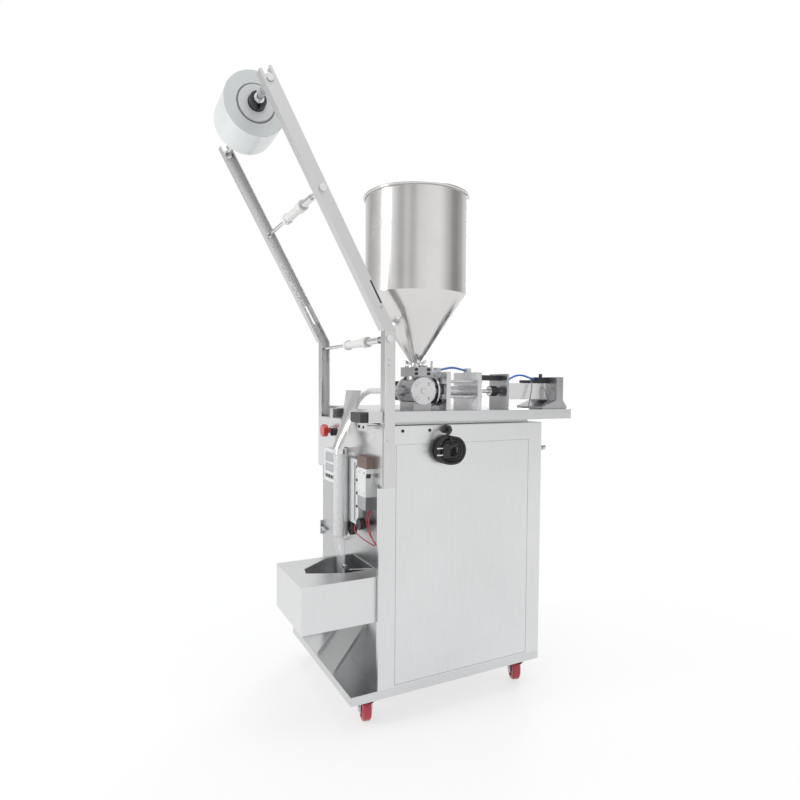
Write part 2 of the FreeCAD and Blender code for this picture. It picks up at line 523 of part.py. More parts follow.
for name, y, z, face in LINES:
    barrel = [rod(name + "_barrel", "X", "%s_barrel_left" % name, y, z, "roller_radius",
                  "%s_barrel_right - %s_barrel_left" % (name, name)),
              rod(name + "_collar_left", "X", "%s_left" % name, y, z, "collar_radius",
                  "%s_barrel_left - %s_left" % (name, name)),
              rod(name + "_collar_right", "X", "%s_barrel_right" % name, y, z, "collar_radius",
                  "%s_right - %s_barrel_right" % (name, name))]
    bore = rod(name + "_bore", "X", "%s_left - stop_length" % name, y, z, "rod_radius + running_gap",
               "%s_right - %s_left + 2*stop_length" % (name, name))
    node(name + "_roller", cut(name + "_roller", join(name + "_roller_solid", barrel), [bore]))

# Film reel: film on its core, held by two slotted chucks that turn on the shaft.
def ring(name, axis, x, y, z, radius, bore, length, reach="sheet_gauge"):
    start = {"X": ("(%s) - %s" % (x, reach), y, z), "Y": (x, "(%s) - %s" % (y, reach), z),
             "Z": (x, y, "(%s) - %s" % (z, reach))}[axis]
    return cut(name, rod(name + "_outer", axis, x, y, z, radius, length),
               [rod(name + "_inner", axis, start[0], start[1], start[2], bore, "(%s) + 2*%s" % (length, reach))])


node("film_roll", ring("film_roll", "X", "film_x - film_width/2", SHAFT_Y, SHAFT_Z, "film_radius",
                       "core_radius + fit_gap", "film_width"))
node("film_core", ring("film_core", "X", "film_x - film_width/2", SHAFT_Y, SHAFT_Z, "core_radius", "core_bore",
                       "film_width"))
chucks = []
for side, sign, face in (("right", 1, "film_x + film_width/2"), ("left", -1, "film_x - film_width/2")):
    def reach(start, length):
        return "%s + %s" % (face, start) if sign > 0 else "%s - (%s) - (%s)" % (face, start, length)
    solid = join("chuck_solid_%s" % side, [
        rod("chuck_flange_%s" % side, "X", reach("0", "chuck_gauge"), SHAFT_Y, SHAFT_Z, "chuck_flange",
            "chuck_gauge"),
        rod("chuck_plug_%s" % side, "X", reach("-chuck_plug", "chuck_plug"), SHAFT_Y, SHAFT_Z,
            "core_bore - fit_gap", "chuck_plug"),
        rod("chuck_knob_%s" % side, "X", reach("chuck_gauge", "knob_length"), SHAFT_Y, SHAFT_Z, "knob_radius",
            "knob_length")])
    tools = [rod("chuck_bore_%s" % side, "X", reach("-2*chuck_plug", "4*chuck_plug"), SHAFT_Y, SHAFT_Z,
                 "shaft_radius + running_gap", "4*chuck_plug"),
             box("chuck_slot_%s" % side, reach("chuck_gauge + knob_length - knob_slot_depth", "chuck_plug"),
                 "%s - knob_slot/2" % SHAFT_Y, "%s - 2*knob_radius" % SHAFT_Z, "chuck_plug", "knob_slot",
                 "4*knob_radius")]
    chucks.append(cut("chuck_%s" % side, solid, tools))
node("roll_chucks", join("roll_chucks", chucks))

# Casters: a swivel fork with trail, and a dished wheel on its axle bolt.
FORK_HALF = "(wheel_width/2 + fork_gap + fork_gauge)"
RACE = "(caster_height - caster_plate_gauge - race_height)"
for end in ("front", "rear"):
    for side, sign in (("right", ""), ("left", "-")):
        name = "%s_%s" % (end, side)
        yaw = "yaw_" + name
        spot = ("%s(half_width - caster_inset)" % sign, "caster_" + end)
        cheeks = plate("cheeks_" + name, "XZ_Plane", "-%s" % FORK_HALF, [
            ("yoke_front", RACE), ("-caster_trail - fork_foot + fork_gauge", RACE),
            ("-caster_trail - fork_foot", "%s - fork_shoulder" % RACE),
            ("-caster_trail - fork_foot", "wheel_radius - fork_foot"),
            ("-caster_trail + fork_foot", "wheel_radius - fork_foot"),
            ("-caster_trail + fork_foot", "wheel_radius + fork_foot"),
            ("yoke_front", "%s - fork_gauge" % RACE)], "2*%s" % FORK_HALF, shifted=False)
        space = box("fork_space_" + name, "-caster_trail - 2*wheel_radius", "-wheel_width/2 - fork_gap", "0",
                    "5*wheel_radius", "wheel_width + 2*fork_gap", "%s - fork_gauge" % RACE, shifted=False)
        fork = [cut("fork_" + name, cheeks, [space]),
                rod("race_" + name, "Z", "0", "0", RACE, "race_radius", "race_height", shifted=False),
                rod("axle_" + name, "Y", "-caster_trail", "-%s - axle_head" % FORK_HALF, "wheel_radius",
                    "wheel_bore", "2*%s + 2*axle_head" % FORK_HALF, shifted=False)]
        for head, y in (("a", "-%s - axle_head" % FORK_HALF), ("b", FORK_HALF)):
            fork.append(rod("axle_head_%s_%s" % (head, name), "Y", "-caster_trail", y, "wheel_radius",
                            "axle_head_radius", "axle_head", shifted=False))
        caster = turned(join("caster_fork_" + name, fork), (0, 0, 1), number(yaw))
        node("caster_fork_" + name, place(caster, spot[0], spot[1], "0"))
        half = "wheel_width/2"
        wheel = spun("wheel_" + name, [
            ("wheel_bore + running_gap", "-%s" % half), ("hub_radius", "-%s" % half),
            ("hub_radius", "wheel_dish - %s" % half), ("dish_radius", "wheel_dish - %s" % half),
            ("dish_radius", "-%s" % half), ("wheel_radius - tread_round", "-%s" % half),
            ("wheel_radius", "tread_round - %s" % half), ("wheel_radius", "%s - tread_round" % half),
            ("wheel_radius - tread_round", half), ("dish_radius", half), ("dish_radius", "%s - wheel_dish" % half),
            ("hub_radius", "%s - wheel_dish" % half), ("hub_radius", half),
            ("wheel_bore + running_gap", half)], "0", "0", "0")
        wheel.Placement = FreeCAD.Placement(FreeCAD.Vector(0, 0, 0),
                                            FreeCAD.Rotation(FreeCAD.Vector(0, 0, 1), number(yaw))
                                            * FreeCAD.Rotation(FreeCAD.Vector(1, 0, 0), -90))
        node("caster_wheel_" + name, place(wheel, "%s - caster_trail*cos(%s)" % (spot[0], yaw),
                                           "%s - caster_trail*sin(%s)" % (spot[1], yaw), "wheel_radius"))

# Hopper: foot flange, cone and cylinder in one revolved wall, with a rolled rim.
HOPPER_IN = "hopper_radius - hopper_gauge"
wall = spun("hopper_wall", [
    ("neck_radius - hopper_gauge", "hopper_low"), ("foot_radius", "hopper_low"),
    ("foot_radius", "hopper_low + foot_gauge"), ("neck_radius", "hopper_low + foot_gauge"),
    ("neck_radius", "neck_high"), ("hopper_radius", "seam_z"), ("hopper_radius", "rim_z - bead_radius"),
    (HOPPER_IN, "rim_z - bead_radius"), (HOPPER_IN, "seam_z"),
    ("neck_radius - hopper_gauge", "neck_high + hopper_gauge/2")], "filler_x", "hopper_y", "0")
bead = doc.addObject("Part::Torus", "rim_bead")
bind(bead, "Radius1", "rim_radius - bead_radius")
bind(bead, "Radius2", "bead_radius")
place(bead, "filler_x", "hopper_y", "rim_z - bead_radius")
node("hopper", join("hopper", [wall, bead]))

# Rotary valve: barrel across the machine with inlet on top, cylinder port at
# the rear, outlet at the front, and a rotor with a T port inside.
BARREL_RIGHT = "(barrel_left + barrel_length)"
CLAMP_LOW = "(hopper_low - clamp_gauge)"
body = [rod("barrel", "X", "barrel_left", "hopper_y", "filler_z", "barrel_radius", "barrel_length"),
        box("valve_foot", "barrel_left", "hopper_y - foot_depth/2", "table_high", "barrel_length", "foot_depth",
            "foot_height"),
        box("valve_web", "barrel_left", "hopper_y - web_depth/2", "table_high", "barrel_length", "web_depth",
            "filler_z - table_high"),
        rod("valve_neck", "Z", "filler_x", "hopper_y", "filler_z", "valve_neck", "hopper_low - filler_z"),
        box("clamp_plate", "barrel_left", "hopper_y - clamp_depth/2", CLAMP_LOW, "barrel_length", "clamp_depth",
            "clamp_gauge"),
        rod("outlet_stub", "Y", "filler_x", "outlet_face", "filler_z", "outlet_radius", "hopper_y - outlet_face"),
        rod("inlet_stub", "Y", "filler_x", "hopper_y", "filler_z", "inlet_stub", "front_plate - hopper_y"),
        rod("ferrule", "Y", "filler_x", "front_plate - ferrule_depth", "filler_z", "ferrule_radius",
            "ferrule_depth")]
for name, x in (("right", "%s - clamp_bolt - foot_gauge/4" % BARREL_RIGHT),
                ("left", "barrel_left + clamp_bolt + foot_gauge/4")):
    body.append(nut("clamp_bolt_" + name, "Z", x, "hopper_y", "hopper_low", "clamp_bolt", "foot_gauge"))
bores = [rod("rotor_bore", "X", "barrel_left - plate_gauge", "hopper_y", "filler_z",
             "rotor_radius + running_gap", "barrel_length + 2*plate_gauge"),
         rod("hopper_bore", "Z", "filler_x", "hopper_y", "filler_z", "port_radius",
             "hopper_low - filler_z + plate_gauge"),
         rod("outlet_bore", "Y", "filler_x", "outlet_face - plate_gauge", "filler_z", "port_radius",
             "front_plate - outlet_face + 2*plate_gauge")]
node("valve_body", cut("valve_body", join("valve_solid", body), bores))

cover = [rod("cover_disc", "X", BARREL_RIGHT, "hopper_y", "filler_z", "cover_radius", "cover_gauge"),
         rod("cover_boss", "X", "%s + cover_gauge" % BARREL_RIGHT, "hopper_y", "filler_z", "rotor_shaft",
             "cover_bolt_head")]
for i, (up, back) in enumerate((("+", "+"), ("+", "-"), ("-", "+"), ("-", "-"))):
    cover.append(nut("cover_bolt_%d" % i, "X", "%s + cover_gauge" % BARREL_RIGHT,
                     "hopper_y %s cover_bolt_circle*cos(45)" % back, "filler_z %s cover_bolt_circle*sin(45)" % up,
                     "cover_bolt", "cover_bolt_head"))
node("valve_cover", join("valve_cover", cover))

rotor = join("rotor_solid", [
    rod("rotor_plug", "X", "barrel_left + fit_gap", "hopper_y", "filler_z", "rotor_radius",
        "barrel_length - 2*fit_gap"),
    rod("rotor_shaft", "X", "barrel_left - rotor_shaft_length", "hopper_y", "filler_z", "rotor_shaft",
        "rotor_shaft_length + plate_gauge")])
node("valve_rotor", cut("valve_rotor", rotor, [
    rod("rotor_port", "Z", "filler_x", "hopper_y", "filler_z - 2*rotor_radius", "port_radius", "4*rotor_radius"),
    rod("rotor_side_port", "Y", "filler_x", "hopper_y", "filler_z", "port_radius", "2*rotor_radius")]))

drive = box("drive_case", "barrel_left - drive_length", "hopper_y - drive_depth/2", "filler_z - drive_height/2",
            "drive_length", "drive_depth", "drive_height")
drive_caps = [rod("drive_cap_" + name, "Y", "barrel_left - drive_length/2", y, "filler_z + drive_height/4",
                  "drive_height/5", "foot_gauge")
              for name, y in (("front", "hopper_y - drive_depth/2 - foot_gauge"),
                              ("rear", "hopper_y + drive_depth/2"))]
node("valve_actuator", cut("valve_actuator", join("drive_solid", [drive] + drive_caps), [
    rod("drive_bore", "X", "barrel_left - rotor_shaft_length - fit_gap", "hopper_y", "filler_z",
        "rotor_shaft + running_gap", "2*rotor_shaft_length")]))

# Filling cylinder between two end plates, with four tie rods.
plates = [box(name, "filler_x - plate_half", y, "table_high", "2*plate_half", "plate_gauge",
              "plate_high - table_high") for name, y in (("end_plate_front", "front_plate"),
                                                         ("end_plate_rear", "middle_plate"))]
plates.append(rod("fill_tube", "Y", "filler_x", "front_plate", "filler_z", "fill_radius",
                  "middle_plate - front_plate + plate_gauge"))
TIES = [("%s_%s" % (up, side), "filler_x %s tie_x" % sign, "tie_" + up)
        for up in ("high", "low") for side, sign in (("right", "+"), ("left", "-"))]
holes = [rod("tie_hole_" + name, "Y", x, "front_plate - plate_gauge", z, "tie_radius + fit_gap",
             "middle_plate - front_plate + 3*plate_gauge") for name, x, z in TIES]
holes += [rod("fill_bore", "Y", "filler_x", "front_plate + plate_gauge/2", "filler_z", "fill_bore",
              "middle_plate - front_plate - plate_gauge/2"),
          rod("fill_port", "Y", "filler_x", "front_plate - plate_gauge", "filler_z", "port_radius",
              "2*plate_gauge"),
          rod("fill_gland", "Y", "filler_x", "middle_plate - plate_gauge", "filler_z",
              "piston_rod_radius + running_gap", "3*plate_gauge")]
fill = cut("fill_plates", join("fill_solid", plates), holes)
ties = []
for name, x, z in TIES:
    ties.append(rod("tie_" + name, "Y", x, "front_plate - tie_nut_length", z, "tie_radius",
                    "middle_plate - front_plate + plate_gauge + 2*tie_nut_length"))
    ties.append(nut("tie_nut_front_" + name, "Y", x, "front_plate - tie_nut_length", z, "tie_nut",
                    "tie_nut_length"))
    ties.append(nut("tie_nut_rear_" + name, "Y", x, "middle_plate + plate_gauge", z, "tie_nut",
                    "tie_nut_length"))
node("filling_cylinder", join("filling_cylinder", [fill] + ties))

# Piston, rod and coupling move as one piece between the two cylinders.
ROD_END = "(rod_plate + rod_plate_gauge)"
node("piston_rod", join("piston_rod", [
    rod("fill_piston", "Y", "filler_x", "piston_start", "filler_z", "fill_bore - running_gap", "piston_length"),
    rod("long_rod", "Y", "filler_x", "piston_start", "filler_z", "piston_rod_radius",
        "air_piston - piston_start + air_piston_length"),
    rod("coupling", "Y", "filler_x", "coupling_start", "filler_z", "coupling_radius", "coupling_length"),
    rod("air_piston", "Y", "filler_x", "air_piston", "filler_z", "air_bore - running_gap",
        "air_piston_length")]))
air_block = box("air_block", "filler_x - air_half", ROD_END, "filler_z - air_half", "2*air_half",
                "air_rear - %s" % ROD_END, "2*air_half")
waists = []
for name, x, z in (("right", "filler_x + air_half - foot_gauge/2", "filler_z - air_half"),
                   ("left", "filler_x - air_half", "filler_z - air_half")):
    waists.append(box("air_waist_" + name, x, "%s + air_cap" % ROD_END, "filler_z - air_half - foot_gauge",
                      "foot_gauge/2", "air_rear - %s - 2*air_cap" % ROD_END, "2*air_half + 2*foot_gauge"))
node("air_cylinder", cut("air_cylinder", air_block, waists + [
    rod("air_bore", "Y", "filler_x", "%s + air_cap" % ROD_END, "filler_z", "air_bore",
        "air_rear - %s - 2*air_cap" % ROD_END),
    rod("air_gland", "Y", "filler_x", "%s - air_cap" % ROD_END, "filler_z", "piston_rod_radius + running_gap",
        "3*air_cap")]))
rod_sheet = box("rod_sheet", "filler_x - rod_plate_half", "rod_plate", "table_high", "2*rod_plate_half",
                "rod_plate_gauge", "rod_plate_high - table_high")
rod_plate = cut("rod_plate", rod_sheet, [
    rod("rod_plate_hole", "Y", "filler_x", "rod_plate - plate_gauge", "filler_z",
        "piston_rod_radius + column_gauge", "3*plate_gauge")])
bracket_outline = [
    ("bracket_front", "table_high"), ("bracket_rear", "table_high"),
    ("bracket_rear", "table_high + bracket_foot"),
    ("air_rear + bracket_gauge", "filler_z - air_half - column_gauge"),
    ("air_rear + bracket_gauge", "bracket_high"), ("air_rear", "bracket_high"),
    ("air_rear", "filler_z - air_half - column_gauge"), ("bracket_front", "table_high + bracket_foot")]
bracket = plate("bracket_block", "YZ_Plane", "filler_x - bracket_half", bracket_outline, "2*bracket_half")
node("cylinder_brackets", join("cylinder_brackets", [rod_plate, bracket]))

AIR_TOP = "(filler_z + air_half)"
fittings = [
    box("guide_bar", "filler_x - guide_half", "middle_plate + plate_gauge", "guide_low", "2*guide_half",
        "rod_plate - middle_plate - plate_gauge", "guide_high - guide_low"),
    box("stroke_sensor", "filler_x - sensor_half", "sensor_start", AIR_TOP, "2*sensor_half", "sensor_length",
        "sensor_height"),
    box("air_block_top", "filler_x - block_half", "block_start", AIR_TOP, "2*block_half",
        "air_rear - block_start", "block_height"),
    rod("air_fitting_rear", "Z", "filler_x", "air_rear - 2*fitting_radius", "%s + block_height" % AIR_TOP,
        "fitting_radius", "fitting_height"),
    rod("air_fitting_front", "Z", "filler_x", "%s + air_cap" % ROD_END, AIR_TOP, "fitting_radius",
        "fitting_height"),
    box("top_fitting_front", "filler_x - top_fitting_half", "front_plate", "plate_high", "2*top_fitting_half",
        "plate_gauge", "top_fitting_height"),
    box("top_fitting_rear", "filler_x - top_fitting_half", "middle_plate", "plate_high",
        "2*top_fitting_half", "plate_gauge", "top_fitting_height")]
node("air_fittings", join("air_fittings", fittings))


def shifted(points):
    middle_x = (number("filler_x") + number("rim_radius") - number("column_out") - number("nut_length")) / 2
    lean = math.radians(number("arm_lean"))
    middle_y = (number("table_rear") + number("arm_y") - number("shaft_along") * math.sin(lean)
                - number("film_radius")) / 2
    return [(x - middle_x, y - middle_y, z) for x, y, z in points]


def soft_radius(points, index):
    # the largest arc that leaves a straight piece on both sides of a corner
    here = FreeCAD.Vector(*points[index])
    back = FreeCAD.Vector(*points[index - 1]) - here
    ahead = FreeCAD.Vector(*points[index + 1]) - here
    half = back.getAngle(ahead) / 2
    return 0.45 * min(back.Length, ahead.Length) * math.tan(half)


def hose(name, points, radius, bore=0):
    moved = shifted(points)
    radii = [soft_radius(moved, i) for i in range(1, len(moved) - 1)]
    thing = doc.addObject("Part::Feature", name)
    thing.Shape = tube_shape(moved, radii, radius, bore)
    return thing


fx = number("filler_x")
hose_start = number("front_plate") + number("plate_gauge")
hose_high = number("plate_high") + number("top_fitting_height") / 2
hoses = [
    hose("hose_front", [(fx, hose_start + number("hose_seat"), hose_high),
                        (fx, hose_start + number("hose_arch_y"), hose_high + number("hose_arch")),
                        (fx, number("middle_plate") - number("hose_seat"), hose_high)], number("hose_radius")),
    hose("hose_rear", [(fx, number("rod_plate") + number("rod_plate_gauge") + number("air_cap")
                        + number("fitting_radius") + 1.4, number("filler_z") + number("air_half") + 5),
                       (fx, number("rear_arch_y"), number("rear_arch_z")),
                       (fx, number("block_start") - number("hose_end_gap"), number("hose_end_z"))], number("hose_radius"))]
node("air_hoses", join("air_hoses", hoses))
px = number("film_x")
pipe = hose("pipe_bend", [(fx, number("outlet_face"), number("filler_z")),
                          (fx, number("pipe_turn_y"), number("filler_z")),
                          (px, number("pipe_over_y"), number("filler_z") - number("pipe_drop")),
                          (px, number("tube_y"), number("pipe_turn_z")),
                          (px, number("tube_y"), number("pipe_end_z"))], number("pipe_radius"), number("pipe_bore"))
pipe_flange = ring("pipe_flange", "Y", "filler_x", "outlet_face - pipe_flange", "filler_z", "outlet_radius",
                   "pipe_bore", "pipe_flange")
node("discharge_pipe", join("discharge_pipe", [pipe, pipe_flange]))

# Forming tube on a narrow strap from the control panel, between the film edges.
tube = ring("tube_wall", "Z", "film_x", "tube_y", "tube_low", "tube_radius", "tube_radius - tube_gauge",
            "tube_high - tube_low")
strap = box("tube_strap", "film_x - strap_half", "tube_y + tube_radius - tube_gauge/2",
            "tube_high - strap_height - former_gauge", "2*strap_half",
            "control_face - tube_y - tube_radius + tube_gauge/2", "strap_height")
node("forming_tube", join("forming_tube", [tube, strap]))

# Film former: a ruled sheet from a straight top edge to a half circle round the tube.
FORMER_RADIUS = "(tube_radius + former_gap)"
former = doc.addObject("PartDesign::Body", "former_sheet")
FORMER_STEPS = 12


def straight_edge(step, gauge):
    return ("film_x + former_half*(%s)" % (2 * step / FORMER_STEPS - 1), "former_top_y + %s" % gauge)


def round_edge(step, gauge):
    angle = 180 + 180 * step / FORMER_STEPS
    radius = "(%s + former_gauge - %s)" % (FORMER_RADIUS, gauge)
    return ("film_x + %s*cos(%s)" % (radius, angle), "tube_y + %s*sin(%s)" % (radius, angle))


def former_edge(name, height, spot):
    front = [spot(step, "0") for step in range(FORMER_STEPS + 1)]
    back = [spot(step, "former_gauge") for step in reversed(range(FORMER_STEPS + 1))]
    return sketch(former, name, "XY_Plane", height, front + back)


loft = former.newObject("PartDesign::AdditiveLoft", "former_loft")
loft.Profile = former_edge("former_top_edge", "former_top", straight_edge)
loft.Sections = [former_edge("former_low_edge", "former_low", round_edge)]
loft.Ruled = True
former.Tip = loft
place(former, "0", "0", "0")
ears = [box("former_ear_" + side, x, "ear_front", "table_high", "slot_half - ear_start + ear_reach", "ear_depth",
            "sheet_gauge")
        for side, x in (("right", "film_x + ear_start"), ("left", "film_x - slot_half - ear_reach"))]
node("film_former", join("film_former", [former] + ears))

# Film tube: round the forming tube, with its edges standing to the rear, then
# gathered flat below the tube for the cross seal.
FILM_OUT = "(tube_radius + fit_gap + film_gauge)"
sleeve = ring("film_sleeve", "Z", "film_x", "tube_y", "tube_low - fit_gap", FILM_OUT, "tube_radius + fit_gap",
              "film_top - tube_low + fit_gap", "former_gap")
fin = box("film_fin", "film_x - film_gauge/2", "tube_y + tube_radius + fit_gap + film_gauge/2",
          "tube_low - fit_gap", "film_gauge", "fin_rear - tube_y - tube_radius - fit_gap - film_gauge/2",
          "film_top - tube_low + fit_gap")
STEPS = 12
SECTIONS = (("round", FILM_OUT, FILM_OUT, "tube_low - fit_gap"), ("flat", "flat_half", "film_gauge", "flat_z"),
            ("end", "flat_half", "film_gauge", "film_end"))
gather = doc.addObject("PartDesign::Body", "film_gather")
drawings = []
for name, wide, deep, z in SECTIONS:
    drawings.append(sketch(gather, "film_%s_section" % name, "XY_Plane", z, [
        ("film_x + (%s)*cos(%s)" % (wide, i * 360 / STEPS), "tube_y + (%s)*sin(%s)" % (deep, i * 360 / STEPS))
        for i in range(STEPS)]))
band = gather.newObject("PartDesign::AdditiveLoft", "film_loft")
band.Profile = drawings[0]
band.Sections = drawings[1:]
band.Ruled = True
gather.Tip = band
place(gather, "0", "0", "0")
node("film_tube", join("film_tube", [sleeve, fin, gather]))

# Vertical seal bars: the right one slides on pins in its cylinder.
BAR_RIGHT = "(film_x + bar_gap + bar_length)"
DRIVE_LEFT = "(%s + drive_gap)" % BAR_RIGHT
bar = [box("bar_right", "film_x + bar_gap", "bar_front", "bar_low", "bar_length", "bar_rear - bar_front",
           "bar_high - bar_low")]
for level in ("low", "high"):
    bar.append(rod("bar_pin_" + level, "X", "%s - pin_radius" % BAR_RIGHT, "(bar_front + bar_rear)/2",
                   "pin_" + level, "pin_radius", "pin_length + pin_radius"))
node("seal_bar_right", join("seal_bar_right", bar))
node("seal_bar_left", join("seal_bar_left", [
    box("bar_left", "film_x - bar_gap - bar_length", "bar_front", "bar_low", "bar_length",
        "bar_rear - bar_front", "bar_high - bar_low"),
    box("bar_mount_low", "film_x - bar_gap - bar_length", "bar_rear", "seal_drive_low", "bar_length/2",
        "front_panel_face - bar_rear", "control_low - seal_drive_low"),
    box("bar_mount_high", "film_x - bar_gap - bar_length", "bar_rear", "control_low", "bar_length/2",
        "control_face - bar_rear", "bar_high - control_low")]))
case = join("seal_case", [
    box("seal_case_low", DRIVE_LEFT, "seal_drive_front", "seal_drive_low", "seal_drive_width",
        "front_panel_face - seal_drive_front", "control_low - seal_drive_low"),
    box("seal_case_high", DRIVE_LEFT, "seal_drive_front", "control_low", "seal_drive_width",
        "control_face - seal_drive_front", "seal_drive_high - control_low"),
    box("seal_shield", "%s + shield_gap" % BAR_RIGHT, "seal_drive_front", "seal_drive_high", "shield_width",
        "control_face - seal_drive_front", "shield_high - seal_drive_high")])
node("seal_cylinder", cut("seal_cylinder", case, [
    rod("pin_bore_" + level, "X", "%s - fit_gap" % DRIVE_LEFT, "(bar_front + bar_rear)/2", "pin_" + level,
        "pin_radius + running_gap", "pin_length") for level in ("low", "high")]))

# Pull wheels on shafts through the front panel.
for side, sign in (("right", "+"), ("left", "-")):
    x = "film_x %s wheel_pitch/2" % sign
    node("pull_wheel_" + side, join("pull_wheel_" + side, [
        rod("pull_rim_" + side, "Y", x, "pull_front", "pull_z", "pull_radius", "pull_rear - pull_front"),
        rod("pull_boss_" + side, "Y", x, "pull_front - bezel_depth", "pull_z", "pull_shaft", "bezel_depth"),
        rod("pull_shaft_" + side, "Y", x, "pull_rear", "pull_z", "pull_shaft",
            "front_panel_face + sheet_gauge + bearing_depth - pull_rear")]))

# Push buttons, selector and temperature controller.
BEZEL = "(control_face - bezel_depth)"
for label, x, z, head, depth, gap in (("emergency_stop", "stop_x", "switch_z", "stop_head", "stop_head_depth",
                                       "2*stop_travel"),
                                      ("selector_switch", "selector_x", "switch_z", "selector_radius",
                                       "selector_depth", "fit_gap"),
                                      ("push_button", "button_x", "button_z", "button_radius", "button_depth",
                                       "button_travel + fit_gap")):
    knob = [rod(label + "_head", "Y", x, "%s - %s - %s" % (BEZEL, gap, depth), z, head, depth),
            rod(label + "_stem", "Y", x, "%s - %s" % (BEZEL, gap), z, "stem_radius - fit_gap",
                "control_face + control_gauge + bezel_depth - %s + %s" % (BEZEL, gap)),
            rod(label + "_ring", "Y", x, "control_face + control_gauge + fit_gap", z,
                "stem_radius + bezel_depth", "bezel_depth - fit_gap")]
    if label == "selector_switch":
        knob.append(box(label + "_bar", "%s - selector_bar/2" % x, "%s - 1.5*%s" % (BEZEL, depth),
                        "%s - %s" % (z, head), "selector_bar", depth, "2*%s" % head))
    node(label, join(label, knob))
node("temperature_controller", join("temperature_controller", [
    box("meter_face", "meter_x - meter_side/2", "control_face - meter_depth", "meter_z - meter_side/2",
        "meter_side", "meter_depth", "meter_side"),
    box("meter_back", "meter_x - meter_side/2 + meter_bezel", "control_face", "meter_z - meter_side/2 + meter_bezel",
        "meter_side - 2*meter_bezel", "front_panel_face - control_face",
        "control_low - meter_z + meter_side/2 - meter_bezel")]))

# Horizontal jaws in their folded box: open below, with a shaped film opening on top.
INNER = "sheet_gauge"
jaw_block = box("jaw_block", "jaw_box_left", "jaw_box_front", "jaw_box_low", "jaw_box_right - jaw_box_left",
                "front_panel_face - jaw_box_front", "jaw_box_high - jaw_box_low")
jaw_room = box("jaw_room", "jaw_box_left + sheet_gauge", "jaw_box_front + sheet_gauge",
               "jaw_box_low - sheet_gauge", "jaw_box_right - jaw_box_left - 2*sheet_gauge",
               "front_panel_face - jaw_box_front", "jaw_box_high - jaw_box_low")
mouth = plate("jaw_mouth", "XY_Plane", "jaw_box_high - 2*sheet_gauge", [
    ("film_x + 75", "jaw_box_front + 44"), ("film_x + 39", "jaw_box_front + 51"),
    ("film_x + 2", "jaw_box_front + 98"), ("film_x - 29", "tube_y - 29"), ("film_x - 32", "front_panel_face - 3"),
    ("film_x + 115", "front_panel_face - 3"), ("film_x + 115", "tube_y - 33")], "4*sheet_gauge")
node("jaw_box", cut("jaw_box", jaw_block, [jaw_room, mouth]))
JAW_LOW = "(jaw_z - jaw_height/2)"
REAR_JAW = "(tube_y + film_gauge + jaw_clear)"
FRONT_JAW = "(tube_y - film_gauge - jaw_clear - jaw_travel)"
DRIVE_FACE = "(jaw_box_front + sheet_gauge + jaw_drive_length)"
node("rear_jaw", join("rear_jaw", [
    box("rear_jaw_bar", "film_x - jaw_half", REAR_JAW, JAW_LOW, "2*jaw_half", "jaw_depth", "jaw_height")]
    + [rod("rear_post_" + side, "Y", "film_x %s jaw_pin_x" % sign, "%s + jaw_depth" % REAR_JAW, "jaw_z",
           "jaw_rod", "front_panel_face - %s - jaw_depth" % REAR_JAW)
       for side, sign in (("right", "+"), ("left", "-"))]))
pins = [("middle", "film_x", "jaw_rod"), ("right", "film_x + jaw_pin_x", "jaw_pin"),
        ("left", "film_x - jaw_pin_x", "jaw_pin")]
node("front_jaw", join("front_jaw", [
    box("front_jaw_bar", "film_x - jaw_half", "%s - jaw_depth" % FRONT_JAW, JAW_LOW, "2*jaw_half", "jaw_depth",
        "jaw_height")]
    + [rod("jaw_rod_" + name, "Y", x, "%s - jaw_depth - jaw_rod_length" % FRONT_JAW, "jaw_z", radius,
           "jaw_rod_length") for name, x, radius in pins]))
jaw_case = box("jaw_case", "film_x - jaw_drive_half", "jaw_box_front + sheet_gauge", "jaw_z - jaw_drive_height/2",
               "2*jaw_drive_half", "jaw_drive_length", "jaw_drive_height")
node("jaw_cylinder", cut("jaw_cylinder", jaw_case, [
    rod("jaw_bore_" + name, "Y", x, "%s - jaw_depth - jaw_rod_length - fit_gap" % FRONT_JAW, "jaw_z",
        "%s + running_gap" % radius, "jaw_rod_length + 2*jaw_travel") for name, x, radius in pins]))

# Chute from the front lip of the tray up to the front panel, with side flanges.
CHUTE_TOP = "(%s + chute_rise)" % TRAY_TOP
slide = plate("chute_plate", "YZ_Plane", "chute_left", [
    ("0", TRAY_TOP), ("chute_gauge", TRAY_TOP), ("front_panel_face", "%s - chute_gauge" % CHUTE_TOP),
    ("front_panel_face", CHUTE_TOP)], "chute_width")
sides = [plate("chute_side_" + side, "YZ_Plane", x, [
    ("0", TRAY_TOP), ("front_panel_face", CHUTE_TOP), ("front_panel_face", "%s + chute_flange" % CHUTE_TOP),
    ("0", "%s + chute_flange" % TRAY_TOP)], "sheet_gauge")
         for side, x in (("left", "chute_left"), ("right", "chute_left + chute_width - sheet_gauge"))]
node("chute", join("chute", [slide] + sides))
node("mark_sensor", box("mark_sensor", "sensor_left", "table_front - mark_depth", "mark_low", "sensor_width",
                        "mark_depth", "mark_high - mark_low"))

